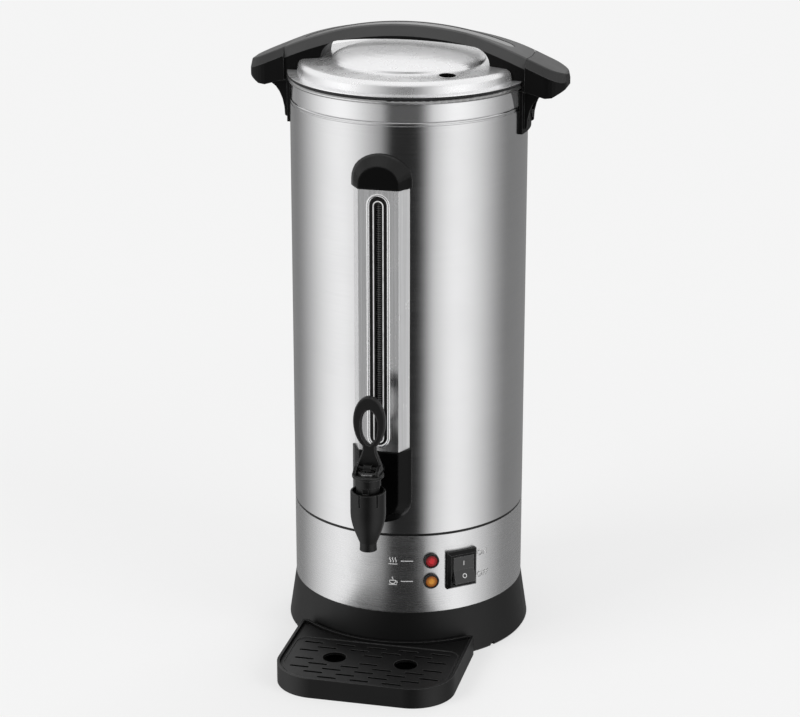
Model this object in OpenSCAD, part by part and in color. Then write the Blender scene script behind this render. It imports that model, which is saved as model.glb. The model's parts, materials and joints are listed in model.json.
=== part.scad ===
// Electric coffee urn: a percolating tank on a heated base, with a lever tap, a level gauge,
// a twist-off lid and a drip tray. Millimetres. The origin is where the urn's axis meets the
// table; +Z is up, the tap faces -Y.

/* [Body] */
// Outside diameter of the steel body
body_d = 220; // [205:1:240]
// Sheet thickness of the skirt and the outer shell
sheet = 0.8; // [0.6:0.1:1]
// Height of the black base ring
base_h = 46; // [40:1:56]
// How far the base ring flares out beyond the body at the table
base_flare = 6.6; // [4:0.2:9]
// Wall thickness of the base ring
base_wall = 3; // [2.4:0.1:3.6]
// Height of the steel skirt round the heater compartment
skirt_h = 77.5; // [74:0.5:90]
// Height of the black joint line between skirt and shell
joint_h = 2.5; // [1.5:0.1:3.5]
// Depth of the black joint line below the steel
joint_depth = 0.5; // [0.3:0.1:0.6]
// Height of the outer shell above the joint line
shell_h = 392; // [360:1:430]
// Height of the bead pressed round the top of the shell
bead_h = 2.3; // [1.8:0.1:3]

/* [Tank] */
// Air gap between the tank and the outer shell
wall_gap = 3.2; // [3:0.1:4]
// Wall thickness of the tank
tank_wall = 0.8; // [0.6:0.1:1]
// Height of the tank floor above the shell's lower edge
floor_rise = 11; // [10:0.5:14]
// Outer radius of the corner between tank floor and wall
floor_corner = 5; // [4:0.5:7]
// Step from the body in to the tank's neck
neck_step = 1; // [0.8:0.1:1.2]
// Height of the tank's neck above the shell
neck_h = 16.4; // [15:0.2:20]
// Section radius of the rolled rim
rim_bead_r = 2; // [1.6:0.1:2.4]

/* [Lid] */
// How far the lid's flange reaches beyond the body
lid_overhang = 2; // [1.6:0.1:2.4]
// Sheet thickness of the lid
lid_sheet = 0.8; // [0.6:0.1:1]
// Height of the gasket between rim and lid
gasket_h = 2; // [1.6:0.1:3]
// Height of the lid's shoulder above its flange
shoulder_h = 10.3; // [8:0.1:13]
// Radius of the raised dome at its foot
dome_r = 71; // [64:1:76]
// Height of the dome above the lid's shoulder
dome_h = 12.6; // [10:0.1:14]
// Step at the dome's foot
dome_step = 1.8; // [1:0.1:3]
// Radius at which the steam vent sits
vent_at_r = 84; // [83:0.5:85]
// Bearing of the steam vent, from the tap towards +X
vent_angle = 37; // [34:1:60]
// Radius of the steam vent's hole
vent_r = 7.6; // [6:0.1:8]

/* [Lid bar] */
// Gap between the dome and the underside of the bar
finger_gap = 6.6; // [6:0.2:12]
// Thickness of the bar at its middle
bar_t = 13; // [11:0.5:16]
// Radius of the bar's arched top, seen from the front
bar_arc_r = 285; // [260:5:330]
// Width of the bar at its middle
bar_w = 26; // [24:1:30]
// Width of the bar at its ends
bar_foot_w = 48; // [44:1:54]
// How far the bar reaches beyond the body
bar_reach = 5; // [4.8:0.1:6]
// Width of the recessed strip along the bar
inlay_w = 12; // [10:0.5:14]
// Half the length of the recessed strip
inlay_reach = 98; // [84:1:100]

/* [Side handles] */
// How far each side handle reaches beyond the body
grip_reach = 38.5; // [38:0.5:46]
// Width of a side handle
grip_w = 52; // [50:1:56]
// Radius of the grip's outer corners
grip_corner = 18; // [14:1:20]
// Fall of the grip's top per millimetre of reach
grip_fall = 0.43; // [0.38:0.01:0.46]
// Height of the bracket plate on the body
plate_h = 40; // [38:1:46]
// Thickness of the bracket plate
plate_t = 3; // [2.5:0.1:3.4]
// Distance between the two gussets of a bracket
gusset_gap = 33; // [32:1:36]
// Thickness of a gusset
gusset_t = 3.4; // [2.6:0.1:4]

/* [Tap] */
// Height of the tap's shank above the joint line
tap_rise = 69.5; // [66:0.5:74]
// Distance from the body to the tap's upright axis
tap_reach = 51.5; // [46:0.5:56]
// Outer radius of the shank
shank_r = 6; // [5.6:0.1:6.6]
// Radius of the water way
water_r = 3.6; // [3.2:0.1:3.8]
// Outer radius of the tap's upright barrel
barrel_r = 11.8; // [11.6:0.1:12.4]
// Length of the nozzle below the barrel
nozzle_h = 58; // [56:1:62]
// Widest radius of the nozzle
nozzle_r = 16.2; // [16:0.1:18]
// Radius of the nozzle's outlet
outlet_r = 5; // [4.4:0.1:5.4]
// Lift of the valve when the lever is pulled
valve_lift = 4; // [3:0.5:4.5]
// Pull of the lever, in degrees
lever_angle = 35; // [30:1:40]
// Radius of the lever's cam at rest
cam_r = 4.4; // [4.2:0.1:5]
// Width of the lever's yoke
yoke_w = 24.4; // [24:0.2:27]
// Width of the lever's ring
ring_w = 30; // [28:0.5:34]
// Height of the lever's ring
ring_h = 50; // [46:1:56]

/* [Level gauge] */
// How far the guard stands out from the body
guard_proud = 11; // [10.6:0.1:12.5]
// Width of the guard's flat front
guard_face_w = 37.3; // [34:0.1:40]
// Width of the guard where it meets the body
guard_w = 52; // [50:1:54]
// Width of the caps above and below the guard
cap_w = 56; // [56:1:60]
// Sheet thickness of the guard
guard_sheet = 1; // [0.8:0.1:1.2]
// Distance from the top of the shell down to the guard
guard_drop = 59; // [50:1:70]
// Width of the window in the guard
window_w = 16; // [14.5:0.5:17]
// Distance from each end of the guard to its window
window_end = 6; // [5:0.5:9]
// Radius of the level tube
tube_r = 3.5; // [3.2:0.1:3.6]

/* [Controls] */
// Bearing of the indicator lamps, from the tap towards +X
lamp_angle = 24.2; // [20:0.2:26]
// Radius of a lamp's bezel
lamp_r = 7.4; // [7:0.1:7.8]
// Height of the lower lamp above the base ring
lamp_rise = 32; // [28:0.5:36]
// Distance between the two lamps
lamp_pitch = 20.6; // [18:0.2:24]
// Bearing of the rocker switch, from the tap towards +X
switch_angle = 39.6; // [39:0.2:46]
// Width of the switch's bezel
switch_w = 31; // [29:0.5:32]
// Height of the switch's bezel
switch_h = 37; // [34:0.5:40]
// How far the switch's bezel stands out from the body
switch_proud = 6; // [5:0.5:6.5]
// Travel of the rocker, in degrees
rocker_throw = 20; // [16:1:22]

/* [Drip tray] */
// Width of the drip tray
tray_w = 168; // [150:1:176]
// Reach of the tray's front from the body
tray_reach = 102; // [92:1:112]
// Height of the tray's wall
tray_h = 19.5; // [18:0.5:24]
// Wall thickness of the tray
tray_wall = 2.4; // [2:0.1:3]
// Radius of the tray's front corners
tray_corner = 40; // [34:1:46]
// Depth of the grille below the tray's rim
grille_drop = 3; // [2:0.1:4]
// Thickness of the grille
grille_t = 2.6; // [2:0.1:3.2]
// Length of a drain slot
slot_l = 18.5; // [15:0.5:20]
// Width of a drain slot
slot_w = 3.2; // [2.4:0.1:3.4]
// Radius of the grille's two finger holes
finger_r = 11; // [9:0.5:12]

/* [Percolator] */
// Radius of the coffee basket
basket_r = 62; // [50:1:66]
// Height of the coffee basket
basket_h = 60; // [50:1:66]
// Distance from the tank's rim down to the basket's top
basket_drop = 16; // [14:1:22]
// Outer radius of the pump tube
pump_r = 4.2; // [4:0.1:4.6]

/* [Fits] */
// Clearance of a running fit, on the radius
running = 0.05; // [0.03:0.01:0.08]
// Clearance between fixed pieces that fit into each other
snug = 0.15; // [0.1:0.01:0.2]
// Gap between pieces that lift off or slide away
free_gap = 0.3; // [0.25:0.05:0.4]
// Gap between the lid bar and the side handles
seam = 0.4; // [0.3:0.05:0.6]

/* [Hidden] */
$fn = 96;
e = 0.01;

// Radii of the body
R = body_d / 2;
shell_in = R - sheet;
tank_r = shell_in - wall_gap;
tank_in = tank_r - tank_wall;
neck_r = R - neck_step;
neck_in = neck_r - 1.2;
base_r = R + base_flare;
tongue_r = shell_in - 0.1;
tongue_t = 2.4;

// Heights of the body, from the table up
skirt_z = base_h;
joint_z = skirt_z + skirt_h;
shell_z = joint_z + joint_h;
top_z = shell_z + shell_h;
bead_z = top_z + neck_h + rim_bead_r;
rim_z = bead_z + rim_bead_r;
floor_z = shell_z + floor_rise;
under_z = floor_z - tank_wall;

// Lid
gasket_z = rim_z + free_gap;
lid_z = gasket_z + gasket_h + free_gap;
flange_z = lid_z + lid_sheet;
lid_r = R + lid_overhang;
ring_foot_r = R - 7;
corner_r = 5.8;
shoulder_r = ring_foot_r - 0.8 - corner_r;
annulus_rise = 1.4;
annulus_z = flange_z + shoulder_h + annulus_rise;
annulus_slope = atan(annulus_rise / (shoulder_r - dome_r));
vent_z = annulus_z - (vent_at_r - dome_r) * tan(annulus_slope);
crown_z = annulus_z + dome_h;

// Lid bar and side handles
bar_low = crown_z + finger_gap;
bar_peak = bar_low + bar_t;
bar_r = R + bar_reach;
bevel_h = 10;
bevel_in = 4;
lug_z = rim_z - 5.2;
lug_in = max(lid_r, neck_r + 1 + rim_bead_r) + 0.6;
arch_x = dome_r + 8;
bar_screw_x = dome_r + 15;
bar_screw_r = 1.85;
bar_screw_l = 12;
grip_r = bar_r + seam;
grip_end = R + grip_reach;
plate_top = lug_z - 0.6;
plate_z = plate_top - plate_h;
grip_shell = 3;
screw_rise = 13;
screw_boss = 4.6;
screw_pitch = 18;

// Tap
tap_z = shell_z + tap_rise;
tap_y = -(R + tap_reach);
barrel_bot = tap_z - shank_r - free_gap;
barrel_top = tap_z + 6.5;
nozzle_z = barrel_bot - nozzle_h;
thread_h = 14;
chamber_r = barrel_r - 1.6;
thread_r = chamber_r - snug;
throat_r = barrel_r - 1;
throat_h = 5.5;
recess_r = nozzle_r - 2;
recess_h = 5;
bore_r = 8;
seat_z = nozzle_z + 34;
cup_r = 7.4;
washer_r = 9.2;
washer_out = 2.2;
cup_h = 9;
stem_r = 2.4;
plug_h = 5;
bonnet_r = 14.5;
dish_r = 8.8;
bonnet_top = barrel_top + 4;
washer_t = 0.8;
pin_z = bonnet_top + cam_r;
pin_r = 1.5;
eye_w = 8;
cam_k = valve_lift / (lever_angle * PI / 180);
neck_w = 12.4;
yoke_h = 18;
ear_in = dish_r + free_gap;
ear_out = yoke_w / 2 - 0.4;
lever_low = washer_t + free_gap - cam_r;
lever_y = 6.4;
lever_t = 5.8;
ring_low = yoke_h - 1;
eye_half = ring_w / 4 - 0.1;
eye_h = ring_h * 0.672;

// Level gauge
tube_y = -(R + tube_r + 1);
face_y = -(R + guard_proud);
guard_z = tap_z + 16.5;
guard_top = top_z - guard_drop;
window_z = guard_z + window_end;
window_top = guard_top - window_end;
socket_r = tube_r + 1.4;
socket_z = tap_z + 13.5;
cap_h = 32;
cap_face_h = 21;
low_cap_h = 76;
low_face_drop = 12;

// Controls
lens_r = lamp_r - 1.6;
sleeve_r = lens_r + 0.8;
lamp_z = [base_h + lamp_rise, base_h + lamp_rise + lamp_pitch];
switch_z = base_h + skirt_h / 2 + 2.5;
switch_out = R + switch_proud;
rocker_w = 21;
rocker_h = 25.6;
rocker_pivot = R + 1;
rocker_face = switch_out - rocker_pivot + 0.6;
rocker_dish = rocker_h / 2 * tan(rocker_throw / 2);
inlet_z = base_h + skirt_h / 2;
inlet_out = R + 4;
inlet_w = 24;
inlet_h = 16.4;
inlet_body_w = 28;
inlet_body_h = 20.6;
inlet_depth = 17;
inlet_screw_x = 20;
inlet_flange_w = 50;
inlet_flange_h = 28;
pin_x = 7;
pin_rise = 2;
pin_t = 2;
pin_tail = 11;
switch_rim = 2.5;
switch_depth = 22;
switch_tab = 4;
switch_tab_x = 7;
switch_tab_z = 9;

// Tray
tray_gap = 0.6;
tray_front = -(R + tray_reach);
tray_back = -(R - 22);
field_back = -(R + 5);
grille_z = tray_h - grille_drop - grille_t;
finger_x = 34;
finger_y = -(R + 47);
row_pitch = 8.7;
col_pitch = 30.6;
field_corner = 17;
line_w = 1.2;

// Percolator
basket_top = rim_z - basket_drop;
basket_z = basket_top - basket_h;
pump_top = basket_top + 18;
collar_r = 9;
hub_r = 6.4;
cover_t = 0.8;
cover_rim = 5;
cover_hub = 8;

// Colours
black = [0.09, 0.09, 0.095];
steel = [0.74, 0.74, 0.75];
rubber = [0.2, 0.2, 0.21];
alloy = [0.66, 0.67, 0.68];

// ---------- helpers ----------

// Carries its children to a bearing measured from the tap towards +X, at radius r
module bearing(angle, r = 0, z = 0)
    rotate([0, 0, angle]) translate([0, -r, z]) children();

// A cylinder along -Y that starts at y
module along_y(r, y, length) translate([0, y, 0]) rotate([90, 0, 0]) cylinder(r = r, h = length);

// A tube standing on z
module tube(r_out, r_in, z, h)
    translate([0, 0, z]) difference() {
        cylinder(r = r_out, h = h, $fn = 180);
        translate([0, 0, -1]) cylinder(r = r_in, h = h + 2, $fn = 180);
    }

// A thin tab centred on X and on y, standing on z
module slab_at(y, w, t, z, h) translate([-w / 2, y - t / 2, z]) cube([w, t, h]);

// A box centred on X, from y0 to y1 and z0 to z1
module slab(w, y0, y1, z0, z1) translate([-w / 2, y0, z0]) cube([w, y1 - y0, z1 - z0]);

// A slot with round ends, standing along Y of the drawing plane from 0 to l
module stadium(w, l) {
    translate([-w / 2, w / 2]) square([w, l - w]);
    translate([0, w / 2]) circle(d = w);
    translate([0, l - w / 2]) circle(d = w);
}

// Draws a 2D shape on the front of the body: drawing Y becomes Z, the shape runs from y0 back by t
module upright(y0, t) translate([0, y0 + t, 0]) rotate([90, 0, 0]) linear_extrude(t) children();

function arc(c, r, a0, a1, n) = [for (i = [0:n]) let (a = a0 + (a1 - a0) * i / n) c + r * [cos(a), sin(a)]];
function unit(v) = v / norm(v);
function side(v) = [v[1], -v[0]];
function leg(p, i) = side(unit(p[min(i + 1, len(p) - 1)] - p[min(i, len(p) - 2)]));
function beside(p, t) = [for (i = [0:len(p) - 1])
    let (a = leg(p, max(i - 1, 0)), b = leg(p, i)) p[i] + t * (a + b) / (1 + a * b)];
function back(p) = [for (i = [len(p) - 1:-1:0]) p[i]];
function quad(a, b, c, d) = [[a, b, c], [a, c, d]];

// A solid skinned through rings of equal length
module loft(rings) {
    n = len(rings[0]);
    last = len(rings) - 1;
    skin = [for (i = [0:last - 1], j = [0:n - 1])
        let (k = (j + 1) % n) each quad(i * n + j, i * n + k, (i + 1) * n + k, (i + 1) * n + j)];
    polyhedron([for (ring = rings) each ring],
        concat([[for (j = [n - 1:-1:0]) j]], skin, [[for (j = [0:n - 1]) last * n + j]]));
}

// ---------- base ----------

screw_at = R - 11;
foot_at = screw_at - 12;
ledge_z = 8;
plate_sheet = 1.2;
plate_low = ledge_z - plate_sheet;
stud_r = 3.4;
screw_r = 1.95;
head_r = 3.8;
head_h = 2.4;
boss_h = 16;
vent_slot_w = 4;
vent_slot_l = 26;
vent_slot_at = 60;

module base_ring() color(black) {
    notch_w = 5;
    notch_h = 3.5;
    difference() {
        union() {
            rotate_extrude($fn = 180) polygon([[base_r - base_wall - 1, 0], [base_r - 1, 0], [base_r, 1.6],
                [R, base_h], [tongue_r, base_h], [tongue_r, base_h + 6],
                [tongue_r - tongue_t, base_h + 6], [tongue_r - tongue_t, base_h - 3],
                [base_r - base_wall - 1, ledge_z + 3], [screw_at - 6, ledge_z + 3],
                [screw_at - 6, ledge_z], [base_r - base_wall - 1, ledge_z]]);
            for (a = [45:90:315]) bearing(a, screw_at, ledge_z) cylinder(r = 5, h = boss_h);
        }
        for (a = [45:90:315]) bearing(a, screw_at, ledge_z - 1)
            cylinder(r = screw_r + running, h = boss_h - 1);
        for (a = [-123, -57, 57, 123]) bearing(a, base_r)
            translate([-notch_w / 2, -base_wall, -1]) cube([notch_w, 2 * base_wall, notch_h + 1]);
    }
}

module rubber_feet() color(rubber)
    for (a = [15:90:285]) bearing(a, foot_at) {
        cylinder(r1 = 8, r2 = 9, h = plate_low);
        cylinder(r = stud_r, h = ledge_z + 2);
    }

module bottom_plate() color(steel)
    translate([0, 0, plate_low]) difference() {
        cylinder(r = base_r - base_wall - 1 - snug, h = plate_sheet, $fn = 180);
        for (a = [45:90:315]) bearing(a, screw_at, -1) cylinder(r = screw_r + 0.25, h = 4);
        for (a = [15:90:285]) bearing(a, foot_at, -1) cylinder(r = stud_r + 0.1, h = 4);
        for (a = [0:30:330]) bearing(a, vent_slot_at, -1) linear_extrude(4) stadium(vent_slot_w, vent_slot_l);
    }

module bottom_screws() color(steel)
    for (a = [45:90:315]) bearing(a, screw_at) {
        translate([0, 0, plate_low - head_h]) cylinder(r = head_r, h = head_h);
        translate([0, 0, plate_low - 1]) cylinder(r = screw_r, h = boss_h - 3);
    }

// Cuts through the skirt for the lamps, the switch and the power inlet
module control_holes() {
    for (z = lamp_z) bearing(lamp_angle, 0, z) along_y(sleeve_r + snug, -(R - 8), 16);
    bearing(switch_angle) switch_slab(switch_rim - snug, -R - 8, -R + 14);
    inlet_slab(inlet_body_w + 2 * snug, inlet_body_h + 2 * snug, R - 8, R + 8);
    at_inlet_screws() translate([0, 4, 0]) rotate([90, 0, 0]) cylinder(r = 1.8 + snug, h = 16);
}

module skirt_shell() color(steel) difference() {
    tube(R, shell_in, skirt_z, skirt_h);
    control_holes();
}

// The black line between skirt and shell: its tongues centre both, its shelf carries the tank
module joint_ring() color(black)
    rotate_extrude($fn = 180) {
        shelf = tank_r - floor_corner;
        polygon([[shelf - 6, joint_z], [tongue_r - tongue_t, joint_z], [tongue_r - tongue_t, joint_z - 6],
            [tongue_r, joint_z - 6], [tongue_r, joint_z], [R - joint_depth, joint_z],
            [R - joint_depth, shell_z], [tongue_r, shell_z], [tongue_r, shell_z + 5],
            [tongue_r - tongue_t, shell_z + 5], [tongue_r - tongue_t, shell_z + 1],
            [shelf, shell_z + 1], [shelf, under_z], [shelf - 6, under_z]]);
    }

// ---------- shell and tank ----------

module body_shell() color(steel) difference() {
    neck = sheet * 0.75;
    rotate_extrude($fn = 180) polygon(concat(
        [[shell_in, shell_z], [R, shell_z], [R, top_z - bead_h - 1.1], [R - neck, top_z - bead_h - 0.8],
            [R - neck, top_z - bead_h - 0.3]],
        arc([R - bead_h / 2, top_z - bead_h / 2], bead_h / 2, -60, 60, 6),
        [[R - 0.9, top_z], [R - 2.2, top_z], [R - 2.2, top_z - bead_h - 3], [shell_in, top_z - bead_h - 5]]));
    translate([0, 0, tap_z]) along_y(shank_r + snug, -R + 6, 12);
    handle_holes();
}

module tank() color(steel) difference() {
    groove = 0.4;
    union() {
        rotate_extrude($fn = 180) polygon(concat([[0, under_z]],
            arc([tank_r - floor_corner, under_z + floor_corner], floor_corner, -90, 0, 6),
            [[tank_r, top_z - 1.2], [tank_r + 1.2, top_z], [neck_r - groove, top_z],
                [neck_r - groove, top_z + 0.7], [neck_r, top_z + 0.7], [neck_r, bead_z],
                [neck_in, bead_z], [neck_in, top_z + 1.6], [tank_in, top_z - 1.2]],
            arc([tank_r - floor_corner, under_z + floor_corner], floor_corner - tank_wall, 0, -90, 6),
            [[0, floor_z]]));
        translate([0, 0, bead_z]) rotate_extrude($fn = 180) translate([neck_in + 0.2 + rim_bead_r, 0])
            circle(r = rim_bead_r, $fn = 32);
    }
    translate([0, 0, tap_z]) along_y(shank_r + snug, -tank_in + 6, 12);
}

// ---------- heater and wiring ----------

plate_r = 56;
heater_t = 5;
element_r = 42;
element_t = 4.2;
element_z = under_z - heater_t - 1.6;
pin_drop = 22;
pin_half = 10;
stat_x = 14;
stat_r = 8.5;
stat_h = 9;
tab_drop = 21;
tab_w = 4;
tab_t = 0.8;
tab_len = 7;
fuse_y = 24;
fuse_r = 2.9;

module heater_plate() color(alloy) difference() {
    translate([0, 0, under_z - heater_t]) cylinder(r = plate_r, h = heater_t);
    translate([0, 0, element_z]) rotate_extrude() translate([element_r, 0])
        circle(r = element_t + running, $fn = 32);
}

module heating_element() color(steel) {
    translate([0, 0, element_z]) rotate_extrude() translate([element_r, 0]) circle(r = element_t, $fn = 32);
    for (s = [-1, 1]) bearing(180 + s * pin_half, element_r, under_z - pin_drop)
        cylinder(r = element_t * 0.62, h = pin_drop - heater_t - 1);
}

module thermostats() color(black)
    for (x = [-stat_x, stat_x]) translate([x, 0, 0]) {
        translate([0, 0, under_z - heater_t - stat_h]) cylinder(r = stat_r, h = stat_h);
        for (y = [-stat_r, stat_r] * 0.6)
            slab_at(y, tab_w, tab_t, under_z - tab_drop, tab_len);
    }

module thermal_fuse() color([0.85, 0.85, 0.8])
    translate([0, fuse_y, under_z - heater_t - fuse_r - 0.1]) rotate([0, 90, 0]) {
        cylinder(r = fuse_r, h = 6.2 * fuse_r, center = true);
        cylinder(r = fuse_r / 5, h = 11.7 * fuse_r, center = true, $fn = 16);
    }

// Insulated leads between the inlet, the switch and the heater
function turn(p, i) = unit(unit(p[min(i + 1, len(p) - 1)] - p[max(i - 1, 0)]));
function lead_ring(p, d, r) = let (u = unit(cross(d, [1, 0.37, 0.21])), v = cross(d, u))
    [for (a = [315:-45:0]) p + r * (cos(a) * u + sin(a) * v)];

module lead(p, r) loft([for (i = [0:len(p) - 1]) lead_ring(p[i], turn(p, i), r)]);

// A point at (x, y) in the frame that is turned to a bearing
function at_bearing(a, x, y, z) = [x * cos(a) - y * sin(a), x * sin(a) + y * cos(a), z];

module wiring() color([0.75, 0.72, 0.65]) {
    lead_r = 1.3;
    seat = 0.3;
    bend = 12;
    inlet_y = inlet_out - inlet_depth - pin_tail - seat;
    tab_y = -R + switch_depth + switch_tab + seat;
    element_x = element_r * sin(pin_half);
    element_y = element_r * cos(pin_half);
    pin_low = under_z - pin_drop - seat;
    tab_low = under_z - tab_drop - seat;
    low_z = inlet_z - pin_rise;
    lead([[pin_x, inlet_y, low_z], [pin_x, inlet_y - bend, low_z],
        at_bearing(switch_angle, -switch_tab_x, tab_y + 2.5 * bend, switch_z - switch_tab_z),
        at_bearing(switch_angle, -switch_tab_x, tab_y, switch_z - switch_tab_z)], lead_r);
    lead([[-pin_x, inlet_y, low_z], [-pin_x, inlet_y - bend, low_z],
        [-element_x, element_y, pin_low - bend], [-element_x, element_y, pin_low]], lead_r);
    lead([at_bearing(switch_angle, switch_tab_x, tab_y, switch_z + switch_tab_z),
        at_bearing(switch_angle, switch_tab_x, tab_y + 1.3 * bend, switch_z + switch_tab_z),
        [stat_x, -0.6 * stat_r, tab_low - 0.7 * bend], [stat_x, -0.6 * stat_r, tab_low]], lead_r);
}

// A slab across the inlet, centred on its height
module inlet_slab(w, h, y0, y1) slab(w, y0, y1, inlet_z - h / 2, inlet_z + h / 2);

// Carries its children to the three pin places: the earth pin stands higher
module at_pins() for (i = [-1:1]) translate([i * pin_x, 0, inlet_z + (i == 0 ? pin_rise : -pin_rise)])
    children();

module at_inlet_screws() for (s = [-1, 1]) translate([s * inlet_screw_x, inlet_out, inlet_z]) children();

module power_inlet() color(black) difference() {
    union() {
        inlet_slab(inlet_flange_w, inlet_flange_h, R - 3, inlet_out);
        inlet_slab(inlet_body_w, inlet_body_h, inlet_out - inlet_depth - 4, inlet_out - 1);
    }
    // the flange's back seats on the curved skirt
    difference() {
        translate([0, 0, skirt_z]) cylinder(r = R + snug, h = skirt_h, $fn = 180);
        inlet_slab(inlet_body_w, inlet_body_h, 0, inlet_out);
    }
    inlet_slab(inlet_w, inlet_h, inlet_out - inlet_depth, inlet_out + 1);
    at_pins() slab(pin_t + 2 * running, inlet_out - inlet_depth - 6, inlet_out, -pin_t - running,
        pin_t + running);
    at_inlet_screws() translate([0, 1, 0]) rotate([90, 0, 0]) cylinder(r = 1.8, h = 10);
}

module inlet_pins() color([0.8, 0.68, 0.35])
    at_pins() slab(pin_t, inlet_out - inlet_depth - pin_tail, inlet_out - 6, -pin_t, pin_t);

module inlet_screws() color(steel) at_inlet_screws() {
    rotate([-90, 0, 0]) cylinder(r = 3, h = 1.6);
    translate([0, 1, 0]) rotate([90, 0, 0]) cylinder(r = 1.75, h = 9);
}

// ---------- switch and lamps ----------

// The rocker's well and the swing of its heel
module rocker_well() {
    swing = rocker_h / 2 * cos(rocker_throw / 2) + (rocker_face + rocker_dish) * sin(rocker_throw / 2)
        + free_gap;
    slab(rocker_w + 2 * free_gap, -switch_out - 1, -R + 5, switch_z - swing, switch_z + swing);
    slab(rocker_w + 2 * free_gap, -R + 4, -R + 8, switch_z - 7, switch_z + 7);
}

// A slab across the switch, inset all round by t
module switch_slab(t, y0, y1) slab(switch_w - 2 * t, y0, y1, switch_z - switch_h / 2 + t,
    switch_z + switch_h / 2 - t);

module switch_body() color(black) bearing(switch_angle) {
    difference() {
        union() {
            hull() {
                switch_slab(0, -switch_out + switch_rim + 1, -R + 1);
                switch_slab(switch_rim, -switch_out, -R + 1);
            }
            switch_slab(switch_rim, -R - 1, -R + switch_depth);
            for (x = [-1, 1], z = [-1, 1]) translate([x * switch_tab_x, 0, switch_z + z * switch_tab_z])
                slab(tab_t, -R + switch_depth - 1, -R + switch_depth + switch_tab, -3, 3);
        }
        // the bezel's back seats on the curved skirt
        difference() {
            switch_slab(-2, -R - 4, 0);
            switch_slab(switch_rim, -R - 6, 1);
            translate([0, 0, switch_z - switch_h - 1]) difference() {
                cylinder(r = R + 20, h = 2 * switch_h + 2);
                translate([0, 0, -1]) cylinder(r = R + running, h = 2 * switch_h + 4, $fn = 180);
            }
        }
        rocker_well();
        translate([-rocker_w / 2 - 2, -rocker_pivot, switch_z]) rotate([0, 90, 0])
            cylinder(r = 1.5 + running, h = rocker_w + 4);
    }
}

// A shallow V whose upper wing is pressed in at rest
module switch_rocker() color(black) bearing(switch_angle) {
    half = rocker_h / 2;
    translate([0, -rocker_pivot, switch_z]) rotate([-rocker_throw / 2, 0, 0]) {
        rotate([90, 0, 90]) translate([0, 0, -rocker_w / 2]) linear_extrude(rocker_w)
            polygon([[-rocker_face - rocker_dish, -half], [-rocker_face, 0],
                [-rocker_face - rocker_dish, half],
                [3.4 - rocker_face, half], [2, 5], [3, 0], [2, -5], [3.4 - rocker_face, -half]]);
        rotate([0, 90, 0]) cylinder(r = 1.5, h = rocker_w + 3.4, center = true);
    }
}

module lamp_bezels() color(black)
    for (z = lamp_z) bearing(lamp_angle, 0, z) difference() {
        union() {
            along_y(lamp_r, -R + 1, 3.2);
            along_y(lamp_r - 0.6, -R, 3);
            along_y(sleeve_r, -R + 11, 12);
        }
        difference() {
            along_y(lamp_r + 1, -R + 3, 6);
            along_y(sleeve_r, -R + 4, 8);
            translate([0, 0, -lamp_r - 1]) difference() {
                cylinder(r = R + 9, h = 2 * lamp_r + 2);
                translate([0, 0, -1]) cylinder(r = R + running, h = 2 * lamp_r + 4, $fn = 180);
            }
        }
        along_y(lens_r, -R + 9, 14);
    }

module lens(z) bearing(lamp_angle, 0, z) {
    along_y(lens_r - running, -R + 8, 10.4);
    translate([0, -R - 2.4, 0]) rotate([90, 0, 0]) cylinder(r1 = lens_r - running, r2 = lens_r - 1, h = 0.7);
    translate([0, -R - 3.1, 0]) rotate([90, 0, 0]) cylinder(r1 = lens_r - 2.6, r2 = lens_r - 3.2, h = 0.5);
}

module warm_lens() color([0.95, 0.6, 0.1]) lens(lamp_z[0]);

module heating_lens() color([0.85, 0.1, 0.1]) lens(lamp_z[1]);

// ---------- level gauge ----------

// Outline of the guard, seen from above, inset by t from its outer faces
module guard_outline(t)
    polygon([[-guard_w / 2 + 1.2 * t, -R * 0.9],
        [-guard_w / 2 + 1.2 * t, -sqrt(R * R - guard_w * guard_w / 4) + 0.2],
        [-guard_face_w / 2 + 0.4 * t, face_y + t], [guard_face_w / 2 - 0.4 * t, face_y + t],
        [guard_w / 2 - 1.2 * t, -sqrt(R * R - guard_w * guard_w / 4) + 0.2],
        [guard_w / 2 - 1.2 * t, -R * 0.9]]);

module window_2d(w) translate([0, window_z - (w - window_w) / 2])
    stadium(w, window_top - window_z + w - window_w);

module gauge_guard() color(steel) {
    difference() {
        translate([0, 0, guard_z]) linear_extrude(guard_top - guard_z) difference() {
            guard_outline(0);
            guard_outline(guard_sheet);
            circle(r = R + running, $fn = 180);
        }
        upright(face_y - 1, 4) window_2d(window_w);
    }
    // pressed lip round the window
    lip_r = 1.4;
    lip_at = window_w / 2 + lip_r;
    difference() {
        union() {
            for (x = [-1, 1]) translate([x * lip_at, face_y + 0.4, window_z + window_w / 2])
                cylinder(r = lip_r, h = window_top - window_z - window_w, $fn = 32);
            for (z = [window_z + window_w / 2, window_top - window_w / 2]) translate([0, face_y + 0.4, z])
                rotate([90, 0, 0]) rotate_extrude() translate([lip_at, 0]) circle(r = lip_r, $fn = 32);
        }
        slab(cap_w, face_y + guard_sheet / 2, face_y + 8, guard_z, guard_top);
        slab(window_w, face_y - 4, face_y + 4, window_z + window_w / 2, window_top - window_w / 2);
    }
}

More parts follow.
